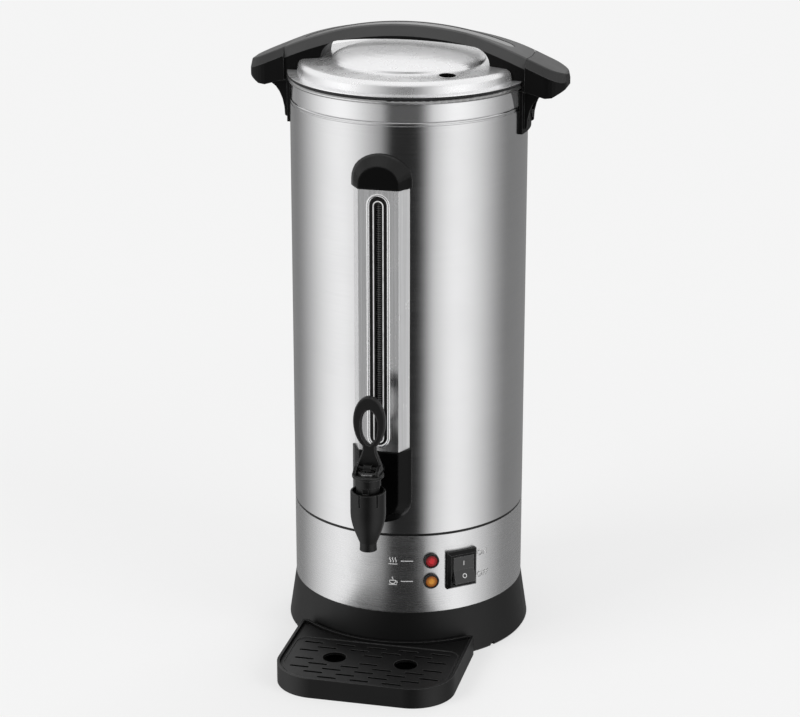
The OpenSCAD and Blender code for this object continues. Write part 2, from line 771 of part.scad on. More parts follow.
module gauge_insert() color(black) {
    slot = tube_r - 0.8;
    bead = 1.5;
    bead_at = slot + 1;
    difference() {
        union() {
            upright(face_y + guard_sheet + running, 1.4) translate([0, window_z - 3])
                stadium(window_w + 6, window_top - window_z + 6);
            upright(face_y + 0.5, 1) window_2d(window_w - 0.3);
            difference() {
                upright(face_y + 0.1, 1) translate([0, window_z + 3 - bead])
                    stadium(2 * (bead_at + bead), window_top - window_z - 8 + 2 * bead);
                upright(face_y - 1, 1.5) translate([0, window_z + 3])
                    stadium(2 * bead_at, window_top - window_z - 8);
            }
        }
        upright(face_y - 1, 6) translate([0, window_z + 4]) stadium(2 * slot, window_top - window_z - 10);
    }
}

module gauge_tube() color([0.85, 0.9, 0.92, 0.5]) difference() {
    translate([0, tube_y, socket_z - 4]) cylinder(r = tube_r, h = guard_top + 8 - socket_z + 4);
    translate([0, tube_y, socket_z - 5]) cylinder(r = tube_r - 0.9, h = guard_top + 8 - socket_z + 6);
}

module gauge_seals() color([0.9, 0.9, 0.88]) {
    wall = 0.5;
    for (span = [[socket_z - 4, socket_z + 2], [guard_top + 2, guard_top + 10]])
        translate([0, tube_y, span[0]]) difference() {
            cylinder(r = tube_r + running + wall, h = span[1] - span[0]);
            translate([0, 0, -1]) cylinder(r = tube_r + running,
                h = span[1] - span[0] - (span[0] > guard_z ? 1 : -2));
        }
}

// Half an ellipse on top of a straight stretch, as a loft ring: w wide, from z0, h tall
function tombstone(w, z0, h, round_h, y) = concat([[-w / 2, y, z0], [w / 2, y, z0]],
    [for (a = [0:10:180]) [w / 2 * cos(a), y, z0 + h - round_h + round_h * sin(a)]]);

// The same ring turned to hang down from z0
function downward(ring, z0) = [for (p = back(ring)) [p[0], p[1], 2 * z0 - p[2]]];

module gauge_top_cap() color(black) {
    z0 = guard_top + 0.3;
    difference() {
        loft([tombstone(guard_face_w, z0, cap_face_h, cap_face_h - 4, face_y),
            tombstone(cap_w - 6, z0, cap_h - 2.4, cap_h - 8, -R - 2.4),
            tombstone(cap_w, z0, cap_h, cap_h - 6, -R + 2.6),
            tombstone(cap_w, z0, cap_h, cap_h - 6, -R * 0.92)]);
        translate([0, 0, z0 - 1]) cylinder(r = R + running, h = cap_h + 2, $fn = 180);
        translate([0, tube_y, z0 - 1]) cylinder(r = tube_r + running + 0.6, h = 10.9);
    }
}

module gauge_lower_cap() color(black) {
    z0 = guard_z - 0.3;
    difference() {
        loft([downward(tombstone(guard_face_w, z0, low_cap_h - low_face_drop, 16, face_y), z0),
            downward(tombstone(cap_w - 6, z0, low_cap_h - 2.4, 24, -R - 2.4), z0),
            downward(tombstone(cap_w, z0, low_cap_h, 26, -R + 2.6), z0),
            downward(tombstone(cap_w, z0, low_cap_h, 26, -R * 0.92), z0)]);
        translate([0, 0, z0 - low_cap_h - 1]) cylinder(r = R + running, h = low_cap_h + 2, $fn = 180);
        translate([0, 0, tap_z]) along_y(shank_r + snug, -R + 2, guard_proud + 4);
        translate([0, 0, tap_z]) along_y(washer_r + 0.6, -R + 2, 4.4);
        translate([0, tube_y, tap_z]) cylinder(r = socket_r + snug, h = z0 - tap_z + 1);
    }
}

// ---------- tap ----------

module tap_body() color(black) difference() {
    union() {
        translate([0, 0, tap_z]) along_y(shank_r, -tank_in + 12, tap_reach - 2 + R - tank_in + 12);
        translate([0, tap_y, barrel_bot + throat_h]) cylinder(r = barrel_r,
            h = barrel_top - barrel_bot - throat_h);
        translate([0, tap_y, barrel_bot - recess_h]) cylinder(r = throat_r, h = recess_h + throat_h + 1);
        translate([0, tap_y, barrel_bot - thread_h]) cylinder(r = thread_r, h = thread_h + 1);
        difference() {
            translate([0, tube_y, tap_z]) cylinder(r = socket_r, h = socket_z + 2 - tap_z);
            slab(40, -R - running, 0, tap_z, socket_z + 3);
            translate([0, 0, tap_z]) difference() {
                along_y(washer_r + snug, 0, R + washer_out + snug);
                along_y(shank_r - 1, 1, R + washer_out + 2);
            }
        }
    }
    translate([0, tap_y, barrel_bot - thread_h - 1]) cylinder(r = bore_r,
        h = barrel_top - barrel_bot + thread_h + 2);
    // key way at the foot of the barrel
    slab(5.4, tap_y - barrel_r - 1, tap_y - throat_r + 1, barrel_bot - 0.5, barrel_bot + 4.6);
    translate([0, 0, tap_z]) along_y(water_r, -tank_in + 13, tap_reach + R - tank_in + 11);
    translate([0, tube_y, tap_z]) cylinder(r = 2.2, h = socket_z - tap_z);
    translate([0, tube_y, socket_z - 4]) cylinder(r = tube_r + running + 0.5 + running, h = 10);
}

// A flat ring on the shank, cut to the curve between radii r_in and r_out
module wall_ring(r, r_in, r_out) intersection() {
    translate([0, 0, tap_z]) difference() {
        along_y(r, -r_in + 8, 20);
        along_y(shank_r + running, -r_in + 9, 22);
    }
    tube(r_out, r_in, tap_z - r - 1, 2 * r + 2);
}

module shank_washers() color([0.85, 0.85, 0.83]) {
    wall_ring(washer_r, R + running, R + washer_out);
    wall_ring(washer_r, tank_r + running, shell_in - running);
    wall_ring(washer_r, tank_in - 2, tank_in - running);
}

module shank_nut() color(steel) translate([0, 0, tap_z]) difference() {
    translate([0, -tank_in + 3.2 + 5, 0]) rotate([90, 0, 0]) cylinder(r = 13, h = 5, $fn = 6);
    along_y(shank_r + running, -tank_in + 14, 14);
}

module tap_nozzle() color(black) {
    grips = 6;
    grip_turn = 14;
    z1 = barrel_bot;
    difference() {
        translate([0, tap_y, 0]) rotate_extrude() polygon(concat(
            [[outlet_r, nozzle_z], [nozzle_r - 8.2, nozzle_z], [nozzle_r - 8.5, nozzle_z + 3],
                [nozzle_r - 8.4, nozzle_z + 6.4]],
            [for (a = [0:7.5:90]) [nozzle_r - 8 * (1 - sin(a)), nozzle_z + 8 + a / 3]], [[nozzle_r, z1 - 3]],
            arc([nozzle_r - 0.9, z1 - 0.9], 0.9, 0, 90, 4),
            [[recess_r, z1], [recess_r, z1 - recess_h], [chamber_r + running, z1 - recess_h],
                [chamber_r + running, z1 - thread_h - 1], [cup_r + 2.2, z1 - thread_h - 2],
                [cup_r + 2.2, seat_z + 2], [outlet_r + 1.6, seat_z], [outlet_r, seat_z - 2]]));
        for (i = [0:grips - 1]) translate([0, tap_y, z1 - 12]) rotate([0, 0, 360 / grips * i + grip_turn])
            translate([nozzle_r - 1.3, -0.8, 0]) cube([4, 1.6, 14]);
    }
}

module tap_bonnet() color(black) translate([0, tap_y, 0]) difference() {
    union() {
        translate([0, 0, barrel_top - plug_h]) cylinder(r = bore_r - snug, h = plug_h + 1);
        translate([0, 0, barrel_top]) cylinder(r = bonnet_r - 1, h = 1);
        translate([0, 0, barrel_top + 1]) cylinder(r = bonnet_r, h = bonnet_top - barrel_top - 2);
        translate([0, 0, bonnet_top - 1]) cylinder(r1 = bonnet_r, r2 = bonnet_r - 1, h = 1);
    }
    translate([0, 0, barrel_top - plug_h - 1]) cylinder(r = stem_r + running, h = plug_h + 8);
}

module bonnet_washer() color(steel) translate([0, tap_y, bonnet_top]) difference() {
    cylinder(r = dish_r, h = washer_t);
    translate([0, 0, washer_t - 0.4]) cylinder(r1 = dish_r - 2.4, r2 = dish_r - 1, h = 0.5);
    translate([0, 0, -1]) cylinder(r = stem_r + snug, h = 3);
}

module tap_stem() color(black) translate([0, tap_y, 0]) difference() {
    union() {
        translate([0, 0, seat_z + 6]) cylinder(r = stem_r, h = pin_z - seat_z - 6);
        translate([0, 0, pin_z]) rotate([0, 90, 0]) cylinder(r = 3.3, h = eye_w - 1, center = true);
    }
    translate([0, 0, pin_z]) rotate([0, 90, 0]) cylinder(r = pin_r, h = eye_w + 2, center = true);
}

module valve_cup() color([0.92, 0.9, 0.86]) translate([0, tap_y, seat_z]) difference() {
    union() {
        translate([0, 0, free_gap]) cylinder(r1 = outlet_r + 0.9, r2 = cup_r, h = 2.6);
        translate([0, 0, 2.6 + free_gap]) cylinder(r = cup_r, h = cup_h - 2.6 - free_gap);
    }
    translate([0, 0, 6]) cylinder(r = stem_r, h = cup_h);
}

// Compression spring between the cup and the bonnet, as a helix of short facets
module tap_spring() color(steel) {
    low = seat_z + cup_h + 0.8;
    high = barrel_top - plug_h - 0.8;
    turns = 5;
    steps = 18;
    wire = 0.55;
    coil = 5.2;
    translate([0, tap_y, 0]) loft([for (i = [0:turns * steps])
        let (a = 360 * i / steps, z = low + (high - low) * i / (turns * steps))
            [for (j = [0:5]) let (b = 60 * j, r = coil + wire * cos(b))
                [r * cos(a), r * sin(a), z + wire * sin(b)]]]);
}

module lever_pin() color(black) translate([0, tap_y, pin_z]) rotate([0, 90, 0])
    cylinder(r = pin_r, h = 2 * ear_out - 0.8, center = true);

// The cam's edge rises by the same amount for each degree of pull: the valve opens evenly
function cam_point(a) = (cam_r + cam_k * a * PI / 180) * [-sin(a), -cos(a)] + cam_k * [-cos(a), sin(a)];

// Half the width of the lever's bell at height t above the pin
function bell_half(t) = neck_w / 2
    + (yoke_w - neck_w) / 2 * pow(cos(90 * min(max((t + cam_r) / (yoke_h + cam_r), 0), 1)), 1.9);
function bell_ring(t, y, c = 1.2) = let (w = bell_half(t))
    [[-w, y - c, t], [-w + c, y, t], [w - c, y, t], [w, y - c, t], [w, c - y, t], [w - c, -y, t],
        [c - w, -y, t],
        [-w, c - y, t]];

// Outline of the lever's ring in the plane y, inset by t
function hoop(t, y) = [for (a = [0:10:350]) [(ring_w / 2 - t) * sin(a) * (1 - 0.03 * cos(a)), y,
    ring_low + ring_h / 2 - (ring_h / 2 - t) * cos(a)]];

// Right half of the opening in the ring, pointed below and round above
eye_form = [[0, 0], [0.03, 0.18], [0.1, 0.47], [0.2, 0.76], [0.3, 0.9], [0.42, 0.98], [0.55, 1], [0.67, 0.97],
    [0.78, 0.86], [0.87, 0.68], [0.94, 0.46], [0.985, 0.2], [1, 0]];
function eye_edge() = [for (p = eye_form) [eye_half * p[1], ring_low + 3.6 + eye_h * p[0]]];

// A closed ring in the plane y, from the right half of its outline
function mirrored(p, y) = concat([for (q = p) [q[0], y, q[1]]],
    [for (i = [len(p) - 2:-1:1]) [-p[i][0], y, p[i][1]]]);

module tap_lever() color(black) translate([0, tap_y, pin_z]) difference() {
    eye = eye_edge();
    far = lever_t / 2;
    union() {
        // ring with rounded edges
        translate([0, lever_y, 0]) difference() {
            loft([hoop(1.2, -far), hoop(0.4, 0.5 - far), hoop(0, 1.5 - far), hoop(0, far - 1.5),
                hoop(0.4, far - 0.5),
                hoop(1.2, far)]);
            loft([mirrored(beside(eye, 1.3), -far - 0.1), mirrored(eye, 1.2 - far), mirrored(eye, far - 1.2),
                mirrored(beside(eye, 1.3), far + 0.1)]);
        }
        // bell and neck
        translate([0, lever_y, 0])
            loft([for (t = [lever_low, -1.5, 1, 3.5, 6, 8.5, 11, 13.5, 16, ring_low + 3])
            bell_ring(t, far)]);
        // ears with the cam edge
        for (s = [-1, 1]) translate([s > 0 ? ear_in : -ear_out, 0, 0]) rotate([90, 0, 90])
            linear_extrude(ear_out - ear_in) polygon(concat([for (a = [0:3.5:lever_angle]) cam_point(a)],
                [[-10.2, -1.6], [-8.6, 0.4], [-2.6, 2.6], [2, 3], [lever_y, 2.6], [lever_y, -2.6],
                    [4, -cam_r]]));
    }
    rotate([0, 90, 0]) cylinder(r = pin_r + running, h = yoke_w + 2, center = true);
}

// ---------- side handles ----------

function bar_top(x) = bar_peak - (bar_arc_r - sqrt(bar_arc_r * bar_arc_r - x * x));
function grip_top(x) = bar_top(bar_r) - grip_fall * (x - bar_r) - 0.5 * max(0, x - grip_end + 1.6);
function grip_low(x) = lookup(x, [[bar_r, lug_z - 1.2], [R + 21, lug_z - 6], [grip_end - 11, lug_z - 5.4],
    [grip_end - 0.8, lug_z + 0.6], [grip_end, lug_z + 1.6]]);
function grip_half(x) = let (u = max(0, x - grip_end + grip_corner))
    grip_w / 2 - grip_corner + sqrt(max(0, grip_corner * grip_corner - u * u));

// Section of the grip at x, inset by t all round
function grip_section(x, t) = let (w = grip_half(x) - t, top = grip_top(x) - t,
    low = grip_low(x) - (t > 0 ? 2 : 0),
    drop = min(7.6, (top - low) / 2))
    [[x, -w, low], [x, -w, top - drop], [x, -w + 5.4, top - 0.8], [x, -w + 6.6, top],
        [x, w - 6.6, top], [x, w - 5.4, top - 0.8], [x, w, top - drop], [x, w, low]];

module handle_holes()
    for (s = [-1, 1], y = [-1, 1]) translate([0, y * screw_pitch / 2, plate_z + screw_rise])
        rotate([0, s * 90, 0]) cylinder(r = 2.1, h = R + 12);

module handle() {
    gusset = concat([[R - 1, plate_z + 2], [R + 4, plate_z + 5]],
        [for (a = [0:15:90]) [R + 21 - 17 * cos(a), plate_z + 5 + (plate_h - 9) * sin(a)]],
        [[R + 21, plate_top + 4], [bar_r + seam + 2, plate_top + 4], [bar_r + seam + 2, plate_top],
            [R - 1, plate_top]]);
    difference() {
        union() {
            difference() {
                loft([for (x = concat([R + 1, R + 6, R + 13, R + 21],
                    [for (d = [14, 11, 8, 5.4, 3.4, 1.8, 0.8, 0.1]) grip_end - d])) grip_section(x, 0)]);
                loft([for (x = [R + 10, R + 21, grip_end - 11, grip_end - 7, grip_end - 4])
                    grip_section(x, grip_shell)]);
                translate([0, 0, plate_top]) cylinder(r = grip_r, h = 60, $fn = 180);
            }
            intersection() {
                tube(R + running + plate_t, R + running, plate_z, plate_h);
                translate([0, -grip_w / 2 + 3, plate_z]) cube([R + 20, grip_w - 6, plate_h]);
            }
            for (y = [-1, 1]) translate([0, y * gusset_gap / 2 + gusset_t / 2, 0]) rotate([90, 0, 0])
                linear_extrude(gusset_t) polygon(gusset);
            for (y = [-1, 1]) translate([R, y * screw_pitch / 2, plate_z + screw_rise]) rotate([0, 90, 0])
                cylinder(r = 3.6, h = screw_boss);
        }
        translate([0, 0, plate_z - 1]) cylinder(r = R + running, h = plate_h + 60, $fn = 180);
        translate([0, 0, plate_top + e]) cylinder(r = grip_r, h = 60, $fn = 180);
        for (y = [-1, 1]) translate([R - 1, y * screw_pitch / 2, plate_z + screw_rise]) rotate([0, 90, 0])
            cylinder(r = 2, h = screw_boss - 0.2);
    }
}

module handle_right() color(black) handle();

module handle_left() color(black) mirror([1, 0, 0]) handle();

module handle_screws() color(steel)
    for (s = [0, 1], y = [-1, 1]) mirror([s, 0, 0])
        translate([shell_in - 0.8, y * screw_pitch / 2, plate_z + screw_rise]) rotate([0, 90, 0]) {
            translate([0, 0, -1.4]) cylinder(r = 3.4, h = 1.4);
            cylinder(r = 1.95, h = screw_boss + 0.4);
        }

// ---------- lid ----------

// The lid's side, from the flange up round its corner and in to the dome
function lid_side() = concat([[ring_foot_r, flange_z]],
    arc([shoulder_r, flange_z + shoulder_h - corner_r], corner_r, 4, 86, 7), [[dome_r, annulus_z]]);

function dome_point(r) = let (foot = dome_r - 0.8)
    [r, annulus_z + dome_step + (dome_h - dome_step) * pow(1 - pow(r / foot, 2.6), 0.8)];

function lid_path() = concat([[lid_r, flange_z]], lid_side(), [dome_point(dome_r - 0.8)],
    [for (k = [0.975, 0.94, 0.89, 0.82, 0.72, 0.6, 0.46, 0.3, 0.15]) dome_point(dome_r * k)],
    [[2, crown_z], [0, crown_z]]);

// Carries its children to the vent, square to the lid's shoulder
module at_vent() bearing(vent_angle, vent_at_r, vent_z) rotate([annulus_slope, 0, 0]) children();

module lid_pan() color(steel) difference() {
    top = lid_path();
    rotate_extrude($fn = 180) polygon(concat(top, back(beside(top, -lid_sheet))));
    at_vent() translate([0, 0, -4]) cylinder(r = vent_r + 1, h = 8);
    for (s = [-1, 1]) translate([s * bar_screw_x, 0, flange_z]) cylinder(r = 2.2, h = 30);
}

module lid_gasket() color(rubber) rotate_extrude($fn = 180) polygon([[neck_in - 3.4, rim_z - 6],
    [neck_in - free_gap - 0.6, rim_z - 6], [neck_in - free_gap, rim_z - 4], [neck_in - free_gap, gasket_z],
    [lid_r - 0.8, gasket_z], [lid_r - 0.8, gasket_z + gasket_h], [neck_in - 3.4, gasket_z + gasket_h]]);

module vent_grommet() color(steel) at_vent() difference() {
    union() {
        translate([0, 0, -2.2]) cylinder(r = vent_r + 1 - snug, h = 2.6);
        translate([0, 0, running]) cylinder(r1 = vent_r + 2.2, r2 = vent_r + 1.8, h = 0.7);
    }
    translate([0, 0, -4]) cylinder(r = vent_r, h = 8);
}

function bar_half(x) = bar_w / 2 + (bar_foot_w - bar_w) / 2
    * pow(sin(90 * min(1, max(0, (abs(x) - 55) / (R - 53)))), 1.3);
function bar_section(x) = let (w = bar_half(x), top = bar_top(x), low = min(lug_z, top - 20))
    [[x, -w, low], [x, -w, top - bevel_h], [x, -w + bevel_in - 0.6, top - 1], [x, -w + bevel_in + 0.8, top],
        [x, w - bevel_in - 0.8, top], [x, w - bevel_in + 0.6, top - 1], [x, w, top - bevel_h], [x, w, low]];

// The finger opening under the bar: a flat arch with round shoulders
module bar_arch() {
    rise = bar_low - annulus_z;
    corner = 18;
    upright(-40, 80) polygon(concat([[arch_x, annulus_z - 30]],
        [for (a = [0:10:90]) [arch_x - corner + corner * cos(a), annulus_z + (rise - 3.4) * sin(a)]],
        [for (x = [arch_x - corner - 10:-10:-arch_x + corner + 9]) [x,
            bar_low - 3.4 * pow(x / (arch_x - corner), 2)]],
        [for (a = [90:10:180]) [-arch_x + corner + corner * cos(a), annulus_z + (rise - 3.4) * sin(a)]],
        [[-arch_x, annulus_z - 30]]));
}

module lid_bar() color(black) difference() {
    half = bar_r + 2;
    intersection() {
        loft([for (i = [0:46]) bar_section(-half + 2 * half * i / 46)]);
        translate([0, 0, lug_z - 1]) cylinder(r = bar_r, h = 90, $fn = 180);
    }
    bar_arch();
    // seat on the lid
    rotate_extrude($fn = 180) polygon(concat(
        [[0, lug_z - 20], [lug_in, lug_z - 20], [lug_in, flange_z + snug]],
        beside(lid_side(), snug), [[0, annulus_z + snug]]));
    inlay(inlay_w + 2 * snug, inlay_reach + snug, 0, 1.5);
    for (s = [-1, 1]) translate([s * bar_screw_x, 0, annulus_z - 4])
        cylinder(r = bar_screw_r + running, h = bar_screw_l + 2);
}

// A strip that follows the bar's top, between depths d0 and d1 below it
module inlay(w, reach, d0, d1) intersection() {
    translate([0, 0, bar_peak - bar_arc_r - 30]) linear_extrude(bar_arc_r + 60) rotate([0, 0, 90])
        translate([0, -reach]) stadium(w, 2 * reach);
    translate([0, w, bar_peak - bar_arc_r]) rotate([90, 0, 0]) difference() {
        cylinder(r = bar_arc_r - d0 + (d0 == 0 ? 3 : 0), h = 2 * w, $fn = 360);
        translate([0, 0, -1]) cylinder(r = bar_arc_r - d1, h = 2 * w + 2, $fn = 360);
    }
}

module bar_inlay() color([0.12, 0.12, 0.125]) inlay(inlay_w, inlay_reach, 0.3, 1.45);

module bar_screws() color(steel)
    for (s = [-1, 1]) translate([s * bar_screw_x, 0, annulus_z - 1.6]) {
        translate([0, 0, -2.6]) cylinder(r = head_r, h = 2.2);
        translate([0, 0, -1]) cylinder(r = bar_screw_r, h = bar_screw_l);
    }

// ---------- percolator ----------

module pump_tube() color(alloy) difference() {
    union() {
        translate([0, 0, floor_z + 8]) cylinder(r = pump_r, h = pump_top - floor_z - 8);
        translate([0, 0, floor_z + free_gap]) cylinder(r1 = 26, r2 = 22, h = 8);
        translate([0, 0, floor_z + 8]) cylinder(r1 = 22, r2 = pump_r, h = 9);
        translate([0, 0, basket_z - 4]) cylinder(r = collar_r, h = 4 - free_gap);
    }
    translate([0, 0, floor_z - 1]) cylinder(r1 = 26, r2 = 20, h = 9);
    translate([0, 0, floor_z + 7]) cylinder(r1 = 20, r2 = 2, h = 9);
    translate([0, 0, floor_z + 7]) cylinder(r = pump_r - 1.4, h = pump_top);
}

// Rings of round holes between radii r0 and r1
module sieve(r0, r1, z, h, hole) {
    rings = 4;
    for (i = [0:rings - 1]) {
        r = r0 + (r1 - r0) * i / (rings - 1);
        count = floor(r / 3.6);
        for (j = [0:count - 1]) bearing(360 * j / count, r, z) cylinder(r = hole, h = h, $fn = 16);
    }
}

module coffee_basket() color(alloy) {
    wall = 0.8;
    difference() {
        translate([0, 0, basket_z]) cylinder(r = basket_r, h = basket_h);
        translate([0, 0, basket_z + wall]) cylinder(r = basket_r - wall, h = basket_h);
        translate([0, 0, basket_z - 1]) cylinder(r = pump_r + running + 0.2, h = 4);
        sieve(16, basket_r - 10, basket_z - 1, 3, 1.2);
    }
    tube(hub_r, pump_r + running, basket_z, 24);
    translate([0, 0, basket_top - 1]) rotate_extrude() translate([basket_r + 0.4, 0]) circle(r = 1, $fn = 24);
}

module basket_cover() color(alloy) difference() {
    union() {
        translate([0, 0, basket_top + free_gap]) cylinder(r = basket_r, h = cover_t);
        translate([0, 0, basket_top - cover_rim])
            tube(basket_r - 0.8 - free_gap, basket_r - 2, 0, cover_rim + free_gap + 0.4);
        translate([0, 0, basket_top + free_gap]) cylinder(r = hub_r, h = cover_hub);
    }
    translate([0, 0, basket_top - cover_rim - 1]) cylinder(r = pump_r + running,
        h = cover_rim + cover_hub + 7);
    sieve(2.2 * hub_r, basket_r - 8, basket_top - 1, 4, 1.2);
}

// ---------- drip tray ----------

// Plan of the tray, inset by t: round front corners, and a back that follows the base ring
module tray_plan(t) difference() {
    w = tray_w / 2 - t;
    c = tray_corner - t;
    union() {
        translate([-w, tray_front + t + c]) square([2 * w, tray_back - tray_front - 2 * t - c]);
        translate([-w + c, tray_front + t]) square([2 * (w - c), c + 1]);
        for (s = [-1, 1]) translate([s * (w - c), tray_front + t + c]) circle(r = c);
    }
    circle(r = base_r + tray_gap + t, $fn = 180);
}

module drip_tray() color(black) {
    floor_t = 2.2;
    ledge = 1.6;
    difference() {
        linear_extrude(tray_h) tray_plan(0);
        translate([0, 0, grille_z - free_gap]) linear_extrude(tray_h) tray_plan(tray_wall);
        translate([0, 0, floor_t]) linear_extrude(tray_h) tray_plan(tray_wall + ledge);
    }
}

function in_plan(x, y, t) = y < field_back - t && y > tray_front + t
    && abs(x) < tray_w / 2 - t
    && (abs(x) < tray_w / 2 - tray_corner || y > tray_front + tray_corner
        || norm([abs(x) - tray_w / 2 + tray_corner, y - tray_front - tray_corner]) < tray_corner - t);

// Plan of the grille's field, inset by t from the tray: its back runs straight, with round corners
module field_plan(t) {
    w = tray_w / 2 - t;
    c = tray_corner - t;
    b = field_corner - t;
    y0 = tray_front + t;
    y1 = field_back - t;
    translate([-w, y0 + c]) square([2 * w, y1 - b - y0 - c]);
    translate([-w + c, y0]) square([2 * (w - c), c + 1]);
    translate([-w + b, y1 - b - 1]) square([2 * (w - b), b + 1]);
    for (s = [-1, 1]) {
        translate([s * (w - c), y0 + c]) circle(r = c);
        translate([s * (w - b), y1 - b]) circle(r = b);
    }
}

module drip_grille() color(black) {
    edge = tray_wall + 6;
    line_at = tray_wall + free_gap + 2.4;
    rows = floor((-base_r - tray_front - 2 * edge) / row_pitch + 3);
    difference() {
        translate([0, 0, grille_z]) linear_extrude(grille_t) tray_plan(tray_wall + free_gap);
        for (i = [0:rows], j = [-6:6]) {
            y = tray_front + edge + 4 + row_pitch * i;
            x = col_pitch / 2 * j;
            ends = slot_l / 2 + 1;
            if ((i + j + 40) % 2 == 0 && in_plan(abs(x) + ends, y, edge)
                && in_plan(max(0, abs(x) - ends), y, edge)
                && norm([max(0, abs(abs(x) - finger_x) - ends), y - finger_y]) > finger_r + slot_w)
                translate([x + slot_l / 2, y, grille_z - 1]) rotate([0, 0, 90]) linear_extrude(grille_t + 2)
                    stadium(slot_w, slot_l);
        }
        for (s = [-1, 1]) translate([s * finger_x, finger_y, grille_z - 1])
            cylinder(r = finger_r, h = grille_t + 2);
    }
    // raised line round the field
    translate([0, 0, grille_z + grille_t - 0.2]) linear_extrude(0.9) difference() {
        field_plan(line_at);
        field_plan(line_at + line_w);
    }
    // feet that hold the grille level over the tray's floor
    for (s = [-1, 1]) translate([s * finger_x, tray_front + tray_wall + 12, 2.2 + free_gap])
        cylinder(r = 2.4, h = grille_z - 2.2 - free_gap);
}

base_ring();
rubber_feet();
bottom_plate();
bottom_screws();
skirt_shell();
joint_ring();
body_shell();
tank();
heater_plate();
heating_element();
thermostats();
thermal_fuse();
wiring();
power_inlet();
inlet_pins();
inlet_screws();
switch_body();
switch_rocker();
lamp_bezels();
heating_lens();
warm_lens();
gauge_guard();
gauge_insert();
gauge_tube();
gauge_seals();
gauge_top_cap();
gauge_lower_cap();
tap_body();
shank_washers();
shank_nut();
tap_nozzle();
tap_bonnet();
bonnet_washer();
tap_stem();
valve_cup();
tap_spring();
lever_pin();
tap_lever();
handle_left();
handle_right();
handle_screws();
lid_gasket();
lid_pan();
lid_bar();
bar_inlay();
bar_screws();
vent_grommet();
pump_tube();
coffee_basket();
basket_cover();
drip_tray();
drip_grille();
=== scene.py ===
import json
import math

import bmesh
import bpy
from mathutils import Matrix, Vector


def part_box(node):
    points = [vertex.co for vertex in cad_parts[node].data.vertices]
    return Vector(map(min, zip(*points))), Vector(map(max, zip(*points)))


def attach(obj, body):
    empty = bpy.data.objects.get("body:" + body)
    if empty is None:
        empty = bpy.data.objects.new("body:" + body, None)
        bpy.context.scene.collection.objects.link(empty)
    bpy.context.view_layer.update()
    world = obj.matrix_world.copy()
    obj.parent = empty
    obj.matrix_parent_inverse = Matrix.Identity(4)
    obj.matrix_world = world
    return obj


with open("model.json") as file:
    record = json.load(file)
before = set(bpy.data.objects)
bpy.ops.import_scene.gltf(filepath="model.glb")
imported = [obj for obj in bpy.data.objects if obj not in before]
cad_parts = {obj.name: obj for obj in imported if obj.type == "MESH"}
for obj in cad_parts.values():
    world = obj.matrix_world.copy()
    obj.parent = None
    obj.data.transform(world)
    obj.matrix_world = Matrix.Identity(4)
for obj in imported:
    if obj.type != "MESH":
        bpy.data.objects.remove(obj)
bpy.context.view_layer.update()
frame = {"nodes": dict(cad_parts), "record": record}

# Coffee urn: looks. Lengths are in metres and angles in degrees, unless a name says otherwise.
# The urn's axis is Z, the tap faces -Y. A bearing is measured from the tap towards +X.

MM = 0.001

# The camera that was fitted to the photograph
IMAGE_W_PX = 800
FOCAL_PX = 2473
SENSOR_IN_MM = 36
CAMERA_AT = (0.509, -2.178, 1.028)
CAMERA_HEADING = 13.37
CAMERA_PITCH = 18.92
CLIP_NEAR = 0.05
CLIP_FAR = 60.0

BACKDROP = 0.91

LAMP_BEARING = 24.2
SWITCH_BEARING = 39.6


def box(node):
    """Lowest and highest corner of a CAD node at rest."""
    low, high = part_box(node)
    return Vector(low), Vector(high)


def middle_z(node):
    """Height of the middle of a CAD node."""
    low, high = box(node)
    return (low.z + high.z) / 2


SHELL_R = box("body_shell")[1].x


# ---------- node trees ----------

# Noise seldom leaves this range
NOISE_LOW = 0.3
NOISE_HIGH = 0.7

# Numbers of the Mix node's sockets for colours: factor, A and B, and the result
MIX_INPUTS = (0, 6, 7)
MIX_RESULT = 2

BEVEL_SAMPLES = 4


